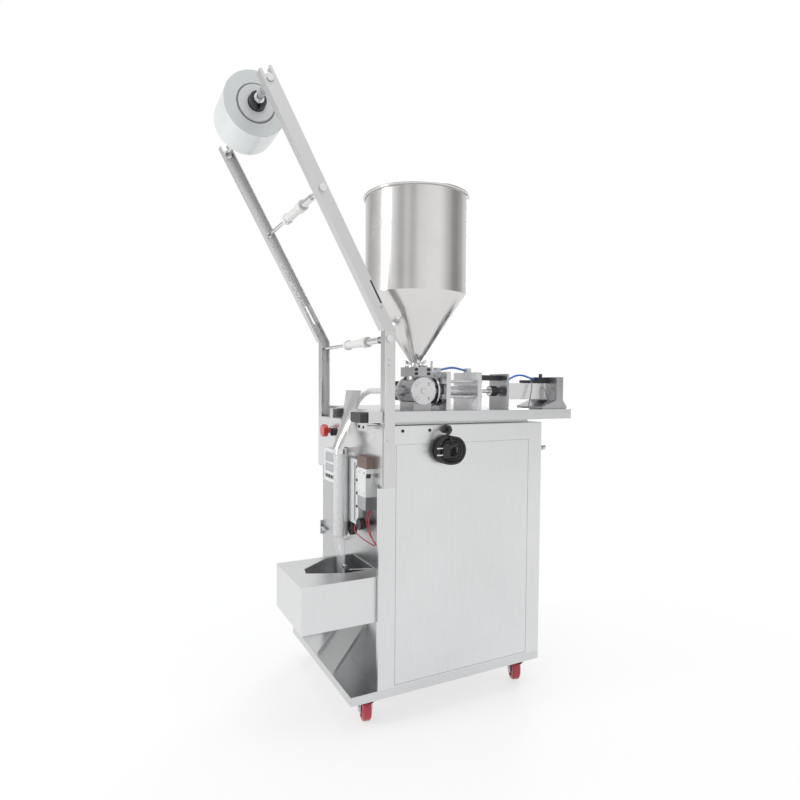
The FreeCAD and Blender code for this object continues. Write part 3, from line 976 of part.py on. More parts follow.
# Power cord: gland in the right side, a short lead and the tied coil with its plug.
gland = join("gland_solid", [
    rod("gland_head", "X", "half_width", "cord_y", "cord_z", "gland_radius", "gland_length"),
    rod("gland_neck", "X", "half_width - 3*sheet_gauge", "cord_y", "cord_z", "gland_hole_radius - fit_gap",
        "3*sheet_gauge"),
    nut("gland_nut", "X", "half_width - 3*sheet_gauge", "cord_y", "cord_z", "gland_nut", "2*sheet_gauge")])
node("power_gland", cut("power_gland", gland, [
    rod("gland_bore", "X", "half_width - 5*sheet_gauge", "cord_y", "cord_z", "cord_radius + fit_gap",
        "2*gland_length")]))
COIL_LEFT = "(half_width + coil_gap)"
coil_parts = []
for name, radius, gap, x, width in (("body", "coil_radius", "coil_reach", COIL_LEFT, "coil_width"),
                                    ("hole", "coil_hole", "coil_hole_reach", "half_width", "2*coil_width")):
    pieces = [rod("coil_%s_%s" % (name, side), "X", x, "coil_y %s %s" % (sign, gap), "coil_z", radius, width)
              for side, sign in (("rear", "+"), ("front", "-"))]
    pieces.append(box("coil_%s_middle" % name, x, "coil_y - %s" % gap, "coil_z - %s" % radius, width,
                      "2*%s" % gap, "2*%s" % radius))
    coil_parts.append(join("coil_" + name, pieces))
node("power_coil", cut("power_coil", coil_parts[0], [coil_parts[1]]))
lead_x = number("half_width") + number("coil_gap") + number("coil_width") / 2
lead_top = number("cord_z")
node("power_lead", hose("power_lead", [
    (number("half_width") - 3, number("cord_y"), lead_top), (lead_x + 9, number("cord_y"), lead_top),
    (lead_x + 9, number("cord_y"), number("coil_z") + number("coil_radius") + number("fit_gap"))],
    number("cord_radius")))
node("power_plug", box("power_plug", "%s + coil_width" % COIL_LEFT, "coil_y - coil_hole - plug_width",
                       "coil_z - plug_length/2", "plug_depth", "plug_width", "plug_length"))

# Recompute, check every object and write one file for each node.
doc.recompute()
for thing in doc.Objects:
    for word in ("Invalid", "Error"):
        if word in thing.State:
            raise RuntimeError("%s %s" % (thing.Name, thing.State))
    shape = getattr(thing, "Shape", None)
    if shape is not None and thing.TypeId.startswith("Part") and (shape.isNull() or not shape.isValid()):
        raise RuntimeError("%s has no valid shape" % thing.Name)
os.makedirs("parts", exist_ok=True)
for thing in NODES:
    thing.Shape.exportStep("parts/%s.step" % thing.Label)
print(len(NODES), "nodes")
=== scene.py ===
# %% [markdown]
# # Sachet packing machine
# A tall stainless machine that turns a roll of film into liquid sachets. The packed
# model is loaded first and stays fixed. Every piece below is built in metres in the
# same frame, so it goes where the solids already are.

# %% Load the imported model
import json
import math

import bpy
from mathutils import Matrix, Vector


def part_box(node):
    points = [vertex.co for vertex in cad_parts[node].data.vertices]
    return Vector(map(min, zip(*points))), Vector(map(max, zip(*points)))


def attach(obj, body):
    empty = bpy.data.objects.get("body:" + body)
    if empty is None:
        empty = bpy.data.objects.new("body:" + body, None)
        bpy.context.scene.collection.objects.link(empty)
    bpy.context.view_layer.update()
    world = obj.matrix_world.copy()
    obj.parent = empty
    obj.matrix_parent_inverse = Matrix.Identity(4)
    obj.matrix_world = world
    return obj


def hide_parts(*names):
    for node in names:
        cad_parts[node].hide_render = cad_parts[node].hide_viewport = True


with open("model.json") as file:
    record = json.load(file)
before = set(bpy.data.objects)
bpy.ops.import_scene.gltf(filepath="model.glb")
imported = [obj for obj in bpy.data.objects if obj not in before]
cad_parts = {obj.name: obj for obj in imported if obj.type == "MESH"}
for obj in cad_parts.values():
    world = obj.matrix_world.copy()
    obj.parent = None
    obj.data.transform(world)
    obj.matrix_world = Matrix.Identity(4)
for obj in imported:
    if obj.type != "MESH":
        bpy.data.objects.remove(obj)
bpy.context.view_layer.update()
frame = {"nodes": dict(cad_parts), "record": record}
NODES = frame["nodes"]
RECORD = frame["record"]
BODY = {node: body for body, nodes in RECORD["behaviour"]["bodies"].items() for node in nodes}
bpy.ops.object.select_all(action="DESELECT")

# %% [markdown]
# ## Camera
# The photograph was taken from the right front at chest height. The view is set with
# one matrix: its first three columns are the camera's right, up and backward axes.
# A small lens shift stands for the crop of the picture.

# %% Camera
YAW, PITCH, ROLL = math.radians(62.896), math.radians(2.213), math.radians(0.3925)
EYE = Vector((1.48873, -0.74540, 0.86348))
FOCAL_PX, CENTRE_X, CENTRE_Y, FRAME_PX = 578.23, 396.83, 408.39, 800
SENSOR = 36

ahead = Vector((-math.sin(YAW) * math.cos(PITCH), math.cos(YAW) * math.cos(PITCH), -math.sin(PITCH)))
level = ahead.cross(Vector((0, 0, 1))).normalized()
upward = level.cross(ahead)
right = math.cos(ROLL) * level + math.sin(ROLL) * upward
top = -math.sin(ROLL) * level + math.cos(ROLL) * upward

lens = bpy.data.cameras.new("view")
lens.sensor_width = SENSOR
lens.lens = FOCAL_PX * SENSOR / FRAME_PX
lens.shift_x = (FRAME_PX / 2 - CENTRE_X) / FRAME_PX
lens.shift_y = (CENTRE_Y - FRAME_PX / 2) / FRAME_PX
lens.clip_end = 30
camera = bpy.data.objects.new("view", lens)
bpy.context.collection.objects.link(camera)
turn = Matrix((right, top, -ahead)).transposed().to_4x4()
camera.matrix_world = Matrix.Translation(EYE) @ turn
bpy.context.scene.camera = camera
print("lens", round(lens.lens, 2), "mm")

# %% [markdown]
# ## Frame of the drawings
# The solids are drawn in millimetres. One function turns a drawn point into the packed
# frame in metres, whose origin lies on the floor under the middle of the machine, and
# each size below is written as it is on the drawing.

# %% Drawing to frame
ORIGIN = (25.9, 212.047, 0)
MM = 0.001


def at(x, y, z):
    return Vector(((x - ORIGIN[0]) * MM, (y - ORIGIN[1]) * MM, (z - ORIGIN[2]) * MM))


table_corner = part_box("table_top")[0]
print("table top in the frame", [round(v, 4) for v in table_corner], "drawn at", at(-234.5, 45, 772))

# %% [markdown]
# ## Power cord
# A black mains lead leaves the gland high on the right side, drops into a tied coil
# that hangs by it, and ends in its plug on the face of the coil. It is one NURBS
# curve. The coil has two full rings of three turns and one turn inside them. Each turn
# moves over to the next place in two or three points, a little earlier than the turn
# before, so the turns never cross. Each ring has its radius and its sideways reach, and
# each layer its distance from the middle, all in drawing millimetres.

# %% Route of the cord
CORD = 0.0078
RING_Z = (32.6, 24.8, 17.0)
LAYER_X = (264.4, 255.5, 246.6)
RING_REACH = (5.0, 4.6, 4.2)
COIL_Y, COIL_Z = 267, 699
TURN_POINTS, STEP_POINTS, FIRST_STEP, MOVE_POINTS, LAST_POINT = 18, 15.6, 17.4, 2.6, 107
places = [(ring, layer) for ring, layers in enumerate(((0, 1, 2), (2, 1, 0), (0,))) for layer in layers]

route = [at(234.5, 262.8, 752.8), at(249, 262.8, 752.8), at(262, 262.2, 752.8), at(271.5, 257, 749.5),
         at(273, 246, 741), at(269, 237.5, 730)]
corner_cut = 2 / (1 + math.cos(2 * math.pi / TURN_POINTS))
for k in range(3, LAST_POINT):
    steps = (k - FIRST_STEP) / STEP_POINTS
    now = min(max(math.floor(steps) + 1, 0), len(places) - 1)
    before = max(now - 1, 0)
    moved = min(1, (steps - now + 1) * STEP_POINTS / MOVE_POINTS)
    ring, layer, reach = [(1 - moved) * row[before] + moved * row[now] for row in
                          ([RING_Z[r] for r, _ in places], [LAYER_X[c] for _, c in places],
                           [RING_REACH[r] for r, _ in places])]
    angle = math.pi / 2 + 2 * math.pi * k / TURN_POINTS
    sideways = reach * (1 if math.cos(angle) > 0.01 else -1 if math.cos(angle) < -0.01 else 0)
    route.append(at(layer, COIL_Y + sideways + ring * corner_cut * math.cos(angle),
                    COIL_Z + ring * corner_cut * math.sin(angle)))
print(len(route), "points on the route")

# %% Cord along the route
CURVE_ORDER, CURVE_DETAIL = 3, 8


def spline_piece(name, points, radius, sides=3):
    curve = bpy.data.curves.new(name, "CURVE")
    curve.dimensions = "3D"
    curve.bevel_depth, curve.bevel_resolution = radius, sides
    curve.resolution_u = curve.render_resolution_u = CURVE_DETAIL
    curve.use_fill_caps = True
    spline = curve.splines.new("NURBS")
    spline.points.add(len(points) - 1)
    for knot, point in zip(spline.points, points):
        knot.co = (*point, 1)
    spline.order_u = CURVE_ORDER
    spline.use_endpoint_u = True
    thing = bpy.data.objects.new(name, curve)
    bpy.context.collection.objects.link(thing)
    return thing


def run_length(thing):
    bevel = thing.data.bevel_depth
    thing.data.bevel_depth = 0
    mesh = bpy.data.meshes.new_from_object(thing)
    thing.data.bevel_depth = bevel
    spots = [vertex.co for vertex in mesh.vertices]
    return sum((b - a).length for a, b in zip(spots, spots[1:]))


route += [at(269, 279, 715.5), at(274, 271, 715), at(276.2, 262, 712), at(275.4, 255, 709.5),
          at(275.2, 247, 709)]
cord = spline_piece("power_cord", route, CORD / 2)
CORD_LENGTH = run_length(cord)
print("cord", round(CORD_LENGTH, 3), "m")

# %% [markdown]
# ## Floor, backdrop and light
# The picture is a white cut-out. The world is white only for the camera, for mirrors
# and for glass, and lights the machine with a plainer grey. Two tall soft boxes and
# one overhead give the steel its long soft highlights.

# %% Wires and node trees
class Wire:
    def __init__(self, paint, socket):
        self.paint, self.socket = paint, socket

    def work(self, operation, first, second):
        return self.paint.add("ShaderNodeMath", {"operation": operation}, {0: first, 1: second})

    def __add__(self, other):
        return self.work("ADD", self, other)

    def __mul__(self, other):
        return self.work("MULTIPLY", self, other)

    def __sub__(self, other):
        return self.work("SUBTRACT", self, other)

    def __rsub__(self, other):
        return self.work("SUBTRACT", other, self)

    __radd__ = __add__
    __rmul__ = __mul__


class Tree:
    def __init__(self, tree, place="Object"):
        self.tree = tree
        self.tree.nodes.clear()
        self.place = self.add("ShaderNodeTexCoord", output=place)

    def add(self, kind, settings=None, inputs=None, output=0):
        node = self.tree.nodes.new(kind)
        for key, value in (settings or {}).items():
            if key == "stops":
                ramp = node.color_ramp
                for i, (spot, colour) in enumerate(value):
                    stop = ramp.elements[i] if i < 2 else ramp.elements.new(spot)
                    stop.position, stop.color = spot, colour
                ramp.interpolation = "EASE"
            else:
                setattr(node, key, value)
        for key, value in (inputs or {}).items():
            if isinstance(value, Wire):
                self.tree.links.new(value.socket, node.inputs[key])
            else:
                node.inputs[key].default_value = value
        return Wire(self, node.outputs[output])

    def seen_directly(self):
        mirrored = [self.add("ShaderNodeLightPath", output=name) for name in
                    ("Is Camera Ray", "Is Glossy Ray", "Is Transmission Ray")]
        either = mirrored[0].work("MAXIMUM", mirrored[0], mirrored[1])
        return mirrored[0], either.work("MAXIMUM", either, mirrored[2])


def grey(value):
    return (value, value, value, 1)


# %% World
world = bpy.data.worlds.new("studio")
bpy.context.scene.world = world
world.use_nodes = True
sky = Tree(world.node_tree, "Generated")
across = sky.add("ShaderNodeSeparateXYZ", None, {"Vector": sky.place}, 0)
along = sky.add("ShaderNodeSeparateXYZ", None, {"Vector": sky.place}, 1)
bearing = sky.add("ShaderNodeMath", {"operation": "ARCTAN2"}, {0: along, 1: across})
share = bearing * (0.5 / math.pi) + 0.5
WALLS = ((-180, 0.80), (-150, 0.55), (-120, 0.70), (-98, 1.0), (-84, 0.95), (-62, 0.50), (-50, 0.80),
         (-38, 0.55), (-22, 0.90), (2, 0.98), (24, 1.0), (34, 0.82), (44, 0.62), (58, 0.36), (68, 0.30),
         (82, 0.45), (100, 0.80), (124, 1.0), (150, 0.95), (180, 0.80))
walls = sky.add("ShaderNodeValToRGB", {"stops": [((a + 180) / 360, grey(v)) for a, v in WALLS]}, {0: share})
camera_ray, direct_ray = sky.seen_directly()
lit = sky.add("ShaderNodeBackground", None, {"Color": (0.97, 0.985, 1, 1), "Strength": 0.72})
room = sky.add("ShaderNodeBackground", None, {"Color": walls})
white = sky.add("ShaderNodeBackground", None, {"Color": grey(1)})
rays = sky.add("ShaderNodeMixShader", None, {0: direct_ray, 1: lit, 2: room})
rays = sky.add("ShaderNodeMixShader", None, {0: camera_ray, 1: rays, 2: white})
world_out = sky.tree.nodes.new("ShaderNodeOutputWorld")
sky.tree.links.new(rays.socket, world_out.inputs["Surface"])
bpy.context.scene.view_settings.view_transform = "Standard"
print(len(WALLS), "shades round the mirrored room")


# %% Lamps
def soft_box(name, spot, target, width, height, power):
    light = bpy.data.lights.new(name, "AREA")
    light.shape = "RECTANGLE"
    light.size, light.size_y, light.energy = width, height, power
    lamp = bpy.data.objects.new(name, light)
    bpy.context.collection.objects.link(lamp)
    aim = (Vector(target) - Vector(spot)).to_track_quat("-Z", "Y")
    lamp.matrix_world = Matrix.Translation(spot) @ aim.to_matrix().to_4x4()
    return lamp


soft_box("front_light", (-0.25, -2.9, 1.6), (0, 0, 0.9), 0.55, 2.2, 34)
soft_box("rear_light", (-1.8, 2.3, 1.6), (0, 0, 0.9), 0.7, 2.2, 30)
soft_box("top_light", (0.5, 0.1, 3.2), (0.1, 0, 0.8), 1.8, 1.8, 22)
print(len(bpy.data.lights), "lamps")

# %% Floor
bpy.ops.mesh.primitive_plane_add(size=60, location=(0, 0, -0.0005))
floor = bpy.context.object
floor.name = "floor"

# %% [markdown]
# ## A small language for materials
# Finishes are made from noise and maths in the same way as the walls above. One class
# adds what every material needs: clouds of noise, a mix, a range, a bump and the shader.

# %% Paint
class Paint(Tree):
    def __init__(self, name):
        self.material = bpy.data.materials.new(name)
        self.material.use_nodes = True
        super().__init__(self.material.node_tree)

    def noise(self, scale, stretch=(1, 1, 1), detail=3, rough=0.5):
        where = self.add("ShaderNodeMapping", None, {"Vector": self.place, "Scale": stretch})
        return self.add("ShaderNodeTexNoise", None,
                        {"Vector": where, "Scale": scale, "Detail": detail, "Roughness": rough})

    def mix(self, amount, first, second):
        return self.add("ShaderNodeMix", {"data_type": "RGBA"}, {0: amount, 6: first, 7: second}, 2)

    def ramp(self, value, low, high):
        return self.add("ShaderNodeMapRange", None, {"Value": value, "From Min": low, "From Max": high})

    def bump(self, height, depth):
        return self.add("ShaderNodeBump", None, {"Height": height, "Strength": 1.0, "Distance": depth})

    def output(self, shader):
        out = self.tree.nodes.new("ShaderNodeOutputMaterial")
        self.tree.links.new(shader.socket, out.inputs["Surface"])
        return self.material

    def finish(self, inputs):
        return self.output(self.add("ShaderNodeBsdfPrincipled", None, inputs))


def rgb(*values):
    return (*values, 1.0)


# %% [markdown]
# ## Stainless finishes
# The sheets have a fine grain along one direction, faint clouding and a few soft
# rubbed patches. The grain is noise stretched along the rolling direction, and it
# varies the colour, the roughness and a very shallow bump.

# %% Brushed sheet
GRAIN = {"X": (1, 90, 90), "Y": (90, 1, 90), "Z": (90, 90, 1)}


def brushed(name, colour, along, rough=0.30, depth=0.00002, cloud=0.10):
    paint = Paint(name)
    grain = paint.noise(14, GRAIN[along], 4, 0.6)
    fine = paint.noise(60, GRAIN[along], 2, 0.5)
    clouds = paint.noise(3.2, (1, 1, 1), 3, 0.55)
    dark = rgb(*[c * (1 - cloud) for c in colour])
    light = rgb(*[min(1, c * (1 + cloud * 0.6)) for c in colour])
    tone = paint.ramp(grain * 0.55 + clouds * 0.45, 0.30, 0.70)
    return paint.finish({
        "Base Color": paint.mix(tone, dark, light), "Metallic": 1.0,
        "Roughness": paint.ramp(fine, 0.2, 0.8) * 0.10 + clouds * 0.08 + (rough - 0.09),
        "Normal": paint.bump(grain * 0.6 + fine * 0.4, depth)})


# %% Polished and turned metal
def turned_metal(name, colour, rough, rings=0.0, cloud=0.06):
    paint = Paint(name)
    clouds = paint.noise(9, (1, 1, 1), 3, 0.5)
    lines = paint.noise(6, (8, 8, 160), 3, 0.6)
    dark = rgb(*[c * (1 - cloud) for c in colour])
    light = rgb(*[min(1, c * (1 + cloud)) for c in colour])
    tone = paint.ramp(clouds * 0.6 + lines * 0.4, 0.3, 0.7)
    return paint.finish({
        "Base Color": paint.mix(tone, dark, light), "Metallic": 1.0,
        "Roughness": clouds * 0.10 + lines * 0.05 + (rough - 0.07),
        "Normal": paint.bump(lines, rings)})


# %% [markdown]
# ## Plastics, rubber and film
# Moulded parts have a slight orange-peel bump and uneven gloss. The film is a milky
# skin, and the wound roll shows its layers as fine rings on the end faces.

# %% Moulded plastic
PEEL = 240


def moulded(name, colour, rough=0.38, depth=0.00003, coat=0.0, vary=0.06):
    paint = Paint(name)
    peel = paint.noise(PEEL, (1, 1, 1), 2, 0.5)
    wear = paint.noise(14, (1, 1, 1), 3, 0.6)
    dark = rgb(*[c * (1 - vary) for c in colour])
    light = rgb(*[min(1, c * (1 + vary)) for c in colour])
    return paint.finish({
        "Base Color": paint.mix(paint.ramp(wear, 0.3, 0.7), dark, light), "Coat Weight": coat,
        "Roughness": paint.ramp(wear, 0.2, 0.8) * 0.14 + (rough - 0.07),
        "Normal": paint.bump(peel, depth)})


# %% Clear skin
def clear_skin(name, colour, thin, thick, fold_stretch, fold_depth):
    paint = Paint(name)
    folds = paint.noise(16, fold_stretch, 3)
    milk = paint.noise(30, (1, 1, 0.3), 3)
    return paint.finish({"Base Color": colour, "Roughness": paint.ramp(milk, 0.3, 0.7) * 0.12 + 0.08,
                         "Alpha": paint.ramp(milk, 0.3, 0.8) * (thick - thin) + thin, "Coat Weight": 0.6,
                         "Normal": paint.bump(folds, fold_depth)})


MATERIALS = {
    "cabinet_steel": brushed("cabinet_steel", (0.72, 0.725, 0.73), "Z"),
    "frame_steel": brushed("frame_steel", (0.66, 0.655, 0.65), "Z", 0.28),
    "hopper_steel": turned_metal("hopper_steel", (0.70, 0.69, 0.68), 0.20, 0.00001),
    "machined_steel": turned_metal("machined_steel", (0.66, 0.66, 0.67), 0.26, 0.00001, 0.10),
    # cast_steel is cast metal whose colour is also darkened, as painted shade for the valve group and the parts
    # that share it.
    "cast_steel": turned_metal("cast_steel", (0.44, 0.44, 0.45), 0.30, 0.00002, 0.16),
    "chromed_rod": turned_metal("chromed_rod", (0.72, 0.72, 0.73), 0.14),
    "aluminium": brushed("aluminium", (0.80, 0.80, 0.80), "Y", 0.36),
    "caster_zinc": turned_metal("caster_zinc", (0.62, 0.62, 0.63), 0.30),
    "caster_wheel": moulded("caster_wheel", (0.46, 0.035, 0.055), 0.34, coat=0.3),
    "white_roller": moulded("white_roller", (0.72, 0.72, 0.70), 0.42),
    "film": moulded("film", (0.86, 0.87, 0.87), 0.30, coat=0.4),
    "core_card": moulded("core_card", (0.42, 0.42, 0.41), 0.7),
    "black_plastic": moulded("black_plastic", (0.030, 0.030, 0.033), 0.42),
    "red_plastic": moulded("red_plastic", (0.52, 0.018, 0.020), 0.28, coat=0.5),
    "meter_case": moulded("meter_case", (0.70, 0.71, 0.71), 0.40),
    "white_block": moulded("white_block", (0.70, 0.70, 0.69), 0.46),
    "rubber_wheel": moulded("rubber_wheel", (0.035, 0.035, 0.036), 0.72, depth=0.0001),
    "clear_hose": clear_skin("clear_hose", rgb(0.86, 0.87, 0.87), 0.30, 0.50, (1, 1, 1), 0.0001),
    "hose_blue": moulded("hose_blue", (0.035, 0.16, 0.58), 0.25, coat=0.4),
    "cord_black": moulded("cord_black", (0.020, 0.020, 0.022), 0.55),
}
TABLE_STEEL = brushed("table_steel", (0.66, 0.665, 0.67), "X")
SLOT = {row["node"]: row["material_slot"] for row in RECORD["subparts"]}
for name, thing in NODES.items():
    thing.data.materials.clear()
    thing.data.materials.append(TABLE_STEEL if name in ("table_top", "base_tray") else MATERIALS[SLOT[name]])
print(len(MATERIALS), "finishes")

# %% Floor finish
floor_paint = Paint("floor_white")
spread = floor_paint.add("ShaderNodeVectorMath", {"operation": "LENGTH"}, {0: floor_paint.place}, 1)
matt = floor_paint.add("ShaderNodeBsdfDiffuse", None, {"Color": rgb(0.9, 0.9, 0.9)})
clear = floor_paint.add("ShaderNodeEmission", None, {"Color": rgb(1, 1, 1), "Strength": 1.0})
camera_ray, direct_ray = floor_paint.seen_directly()
away = floor_paint.ramp(spread, 0.35, 1.6) * 0.34 + 0.66
lit_floor = floor_paint.add("ShaderNodeMixShader", None, {0: away * direct_ray, 1: matt, 2: clear})
floor.data.materials.append(floor_paint.output(lit_floor))

# %% [markdown]
# ## Workshop helpers
# These are the hand moves that every piece below repeats: select one thing, settle its
# place into its mesh, pick faces by their place or normal, and round the edges. Sheet
# steel never has knife edges, and the thin bright line along a fold comes from them.

# %% Selecting and settling
def hold(thing):
    bpy.ops.object.select_all(action="DESELECT")
    thing.select_set(True)
    bpy.context.view_layer.objects.active = thing
    return thing


def settle(thing):
    hold(thing)
    bpy.ops.object.transform_apply(location=True, rotation=True, scale=True)
    return thing


def wear(thing, material):
    thing.data.materials.clear()
    thing.data.materials.append(material)
    return thing


# %% Solids to start from
def block(name, low, high):
    bpy.ops.mesh.primitive_cube_add(size=1, location=(low + high) / 2)
    thing = bpy.context.object
    thing.name = name
    thing.scale = high - low
    return settle(thing)


TURNS = {"X": (0, math.pi / 2, 0), "Y": (-math.pi / 2, 0, 0), "Z": (0, 0, 0)}


def drum(name, start, axis, radius, length, sides=64):
    middle = start + Vector([length / 2 if a == axis else 0 for a in "XYZ"])
    bpy.ops.mesh.primitive_cylinder_add(vertices=sides, radius=radius, depth=length,
                                        location=middle, rotation=TURNS[axis])
    thing = bpy.context.object
    thing.name = name
    return settle(thing)


# %% Faces by their place
def pick(thing, test):
    hold(thing)
    bpy.ops.object.mode_set(mode="EDIT")
    bpy.ops.mesh.select_mode(type="FACE")
    bpy.ops.mesh.select_all(action="DESELECT")
    bpy.ops.object.mode_set(mode="OBJECT")
    for face in thing.data.polygons:
        face.select = bool(test(face.center, face.normal))
    bpy.ops.object.mode_set(mode="EDIT")


def done():
    bpy.ops.object.mode_set(mode="OBJECT")


def facing(axis, sign=1, limit=0.9):
    number = "XYZ".index(axis)
    return lambda centre, normal: normal[number] * sign > limit


def step_in(thing, test, inset, depth):
    pick(thing, test)
    bpy.ops.mesh.inset(thickness=inset, depth=0)
    if depth:
        bpy.ops.mesh.extrude_region_shrink_fatten(TRANSFORM_OT_shrink_fatten={"value": depth})
    done()


# %% Rounding and joining
FOLD_ANGLE, SMOOTH_ANGLE = math.radians(30), math.radians(40)


def round_edges(thing, width, segments=2):
    hold(thing)
    rounding = thing.modifiers.new("rounding", "BEVEL")
    rounding.width, rounding.segments = width, segments
    rounding.limit_method, rounding.angle_limit = "ANGLE", FOLD_ANGLE
    rounding.use_clamp_overlap = True
    rounding.miter_outer = "MITER_ARC"
    bpy.ops.object.modifier_apply(modifier="rounding")
    bpy.ops.object.shade_smooth_by_angle(angle=SMOOTH_ANGLE)
    flats = thing.modifiers.new("flats", "WEIGHTED_NORMAL")
    flats.keep_sharp = True
    bpy.ops.object.modifier_apply(modifier="flats")
    return thing


def gather(name, things):
    hold(things[0])
    for thing in things:
        thing.select_set(True)
    if len(things) > 1:
        bpy.ops.object.join()
    things[0].name = name
    return things[0]


def mount(thing, node, material=None):
    if material:
        wear(thing, material)
    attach(thing, BODY[node])
    return thing


# %% [markdown]
# ## Dressing a solid
# Where the solid already has the right shape, a copy of its triangles is merged, its
# flat areas are dissolved back to clean faces, and the edges are rounded. The copy then
# stands for the solid.

# %% Dressed copies
MERGE_GAP, FLAT_ANGLE = 0.00001, math.radians(1.5)


def copy_of(node):
    thing = NODES[node].copy()
    thing.data = NODES[node].data.copy()
    thing.name = node + "_dressed"
    thing.parent = None
    bpy.context.collection.objects.link(thing)
    hold(thing)
    bpy.ops.object.mode_set(mode="EDIT")
    bpy.ops.mesh.select_all(action="SELECT")
    bpy.ops.mesh.remove_doubles(threshold=MERGE_GAP)
    bpy.ops.mesh.dissolve_limited(angle_limit=FLAT_ANGLE)
    done()
    return thing


def dress(node, width, segments=2, material=None):
    thing = round_edges(copy_of(node), width * MM, segments)
    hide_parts(node)
    mount(thing, node, material or MATERIALS[SLOT[node]])
    return thing


SHEETS = ["left_side_panel", "right_side_panel", "rear_panel", "front_panel", "control_panel",
          "cabinet_top", "jaw_box", "chute", "right_column", "left_column", "right_arm", "left_arm"]
for name in SHEETS:
    dress(name, 0.5)
for name in ("base_tray", "table_top"):
    dress(name, 0.5, material=TABLE_STEEL)
print("dressed", len(SHEETS) + 2, "sheets")

# %% Dressed castings and turned parts
for name, width in (("valve_body", 0.6), ("valve_cover", 0.8), ("filling_cylinder", 0.6),
                    ("cylinder_brackets", 0.6), ("air_cylinder", 0.8), ("valve_actuator", 1.2),
                    ("rear_jaw", 0.4), ("front_jaw", 0.4), ("jaw_cylinder", 0.6), ("piston_rod", 0.4),
                    ("roller_rods", 0.4), ("seal_cylinder", 0.8), ("seal_bar_right", 0.8),
                    ("seal_bar_left", 0.8), ("temperature_controller", 0.6), ("mark_sensor", 0.8),
                    ("air_fittings", 0.3), ("hopper", 0.3), ("discharge_pipe", 0.2),
                    ("forming_tube", 0.2), ("film_former", 0.2)):
    dress(name, width)

# %% [markdown]
# ## Plug, tie and coil
# The lead ends in a flat moulded plug with two round pins that lies on the coil. The
# lead goes into its side through a short tapered neck. A black tie goes round the
# turns near the top of the coil.

# %% Plug and cord fittings
plug = block("cord_plug", at(268.8, 234.5, 682.4), at(281.6, 250.5, 715.6))
step_in(plug, facing("X", 1), 2.5 * MM, 0)
step_in(plug, facing("Y", -1), 2.5 * MM, 0.8 * MM)
neck = drum("plug_neck", at(275.2, 249.5, 709), "Y", 5.0 * MM, 8 * MM, 32)
step_in(neck, facing("Y", 1), 1.1 * MM, 1.4 * MM)
wear(round_edges(gather("cord_plug", [plug, neck]), 2.0 * MM, 3), MATERIALS["cord_black"])
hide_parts("power_plug")
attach(plug, BODY["power_plug"])
pins = []
for z in (690.5, 707.5):
    pin = drum("plug_pin", at(275.2, 216.5, z), "Y", 2.2 * MM, 18.2 * MM, 24)
    step_in(pin, facing("Y", -1), 0.9 * MM, 0.9 * MM)
    pins.append(pin)
pins = mount(round_edges(gather("plug_pins", pins), 0.4 * MM), "power_plug", MATERIALS["chromed_rod"])
tie = block("coil_tie", at(242.0, 257, 718.8), at(269.2, 262, 737.4))
pick(tie, lambda centre, normal: abs(normal.y) > 0.9)
bpy.ops.mesh.delete(type="ONLY_FACE")
done()
band = tie.modifiers.new("band", "SOLIDIFY")
band.thickness, band.offset = 1.1 * MM, 1
bpy.ops.object.modifier_apply(modifier="band")
mount(round_edges(tie, 0.5 * MM, 3), "power_coil", MATERIALS["cord_black"])
wear(cord, MATERIALS["cord_black"])
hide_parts("power_lead", "power_coil")
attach(cord, BODY["power_lead"])
print("plug set on the coil")

# %% [markdown]
# ## Left side sheet
# The right side reaches forward as a guard beside the film line, and the left side
# stops flush with the front sheet. The dressed copy is cut there with a bisecting
# plane, and the cut is filled.

# %% Left side
FRONT_FACE = at(0, 98, 0).y
left_side = bpy.data.objects["left_side_panel_dressed"]
hold(left_side)
bpy.ops.object.mode_set(mode="EDIT")
bpy.ops.mesh.select_all(action="SELECT")
bpy.ops.mesh.bisect(plane_co=(0, FRONT_FACE, 0), plane_no=(0, 1, 0), use_fill=True, clear_inner=True)
done()
print("left side starts at", round(min(v.co.y for v in left_side.data.vertices), 4))

# %% [markdown]
# ## Screws, collars and knobs
# Small turned parts catch the light and give the machine its scale. A cap screw is a
# drum with a sunk socket, a collar is a tube with a wall, and both are rounded.

# %% Screws and collars
SOCKET_WIDTH, SOCKET_DEPTH = 0.5, 0.45


def screws(name, node, spots, axis, sign, radius, height, material):
    made = []
    for spot in spots:
        start = at(*spot)
        if sign < 0:
            start = start - Vector([height if a == axis else 0 for a in "XYZ"])
        if not made:
            first = drum(name, start, axis, radius, height, 20)
            step_in(first, facing(axis, sign), radius * (1 - SOCKET_WIDTH), -height * SOCKET_DEPTH)
            origin, made = start, [first]
            continue
        twin = first.copy()
        twin.data = first.data.copy()
        bpy.context.collection.objects.link(twin)
        twin.location = start - origin
        made.append(settle(twin))
    return mount(round_edges(gather(name, made), radius * 0.12, 1), node, material)


def collar(name, node, spot, axis, radius, wall, length, material, sides=48):
    start = at(*spot)
    middle = start + Vector([length / 2 if a == axis else 0 for a in "XYZ"])
    bpy.ops.mesh.primitive_cylinder_add(vertices=sides, radius=radius, depth=length, end_fill_type="NOTHING",
                                        location=middle, rotation=TURNS[axis])
    thing = settle(bpy.context.object)
    thing.name = name
    skin = thing.modifiers.new("wall", "SOLIDIFY")
    skin.thickness, skin.offset = wall, -1
    bpy.ops.object.modifier_apply(modifier="wall")
    return mount(round_edges(thing, wall * 0.25), node, material)


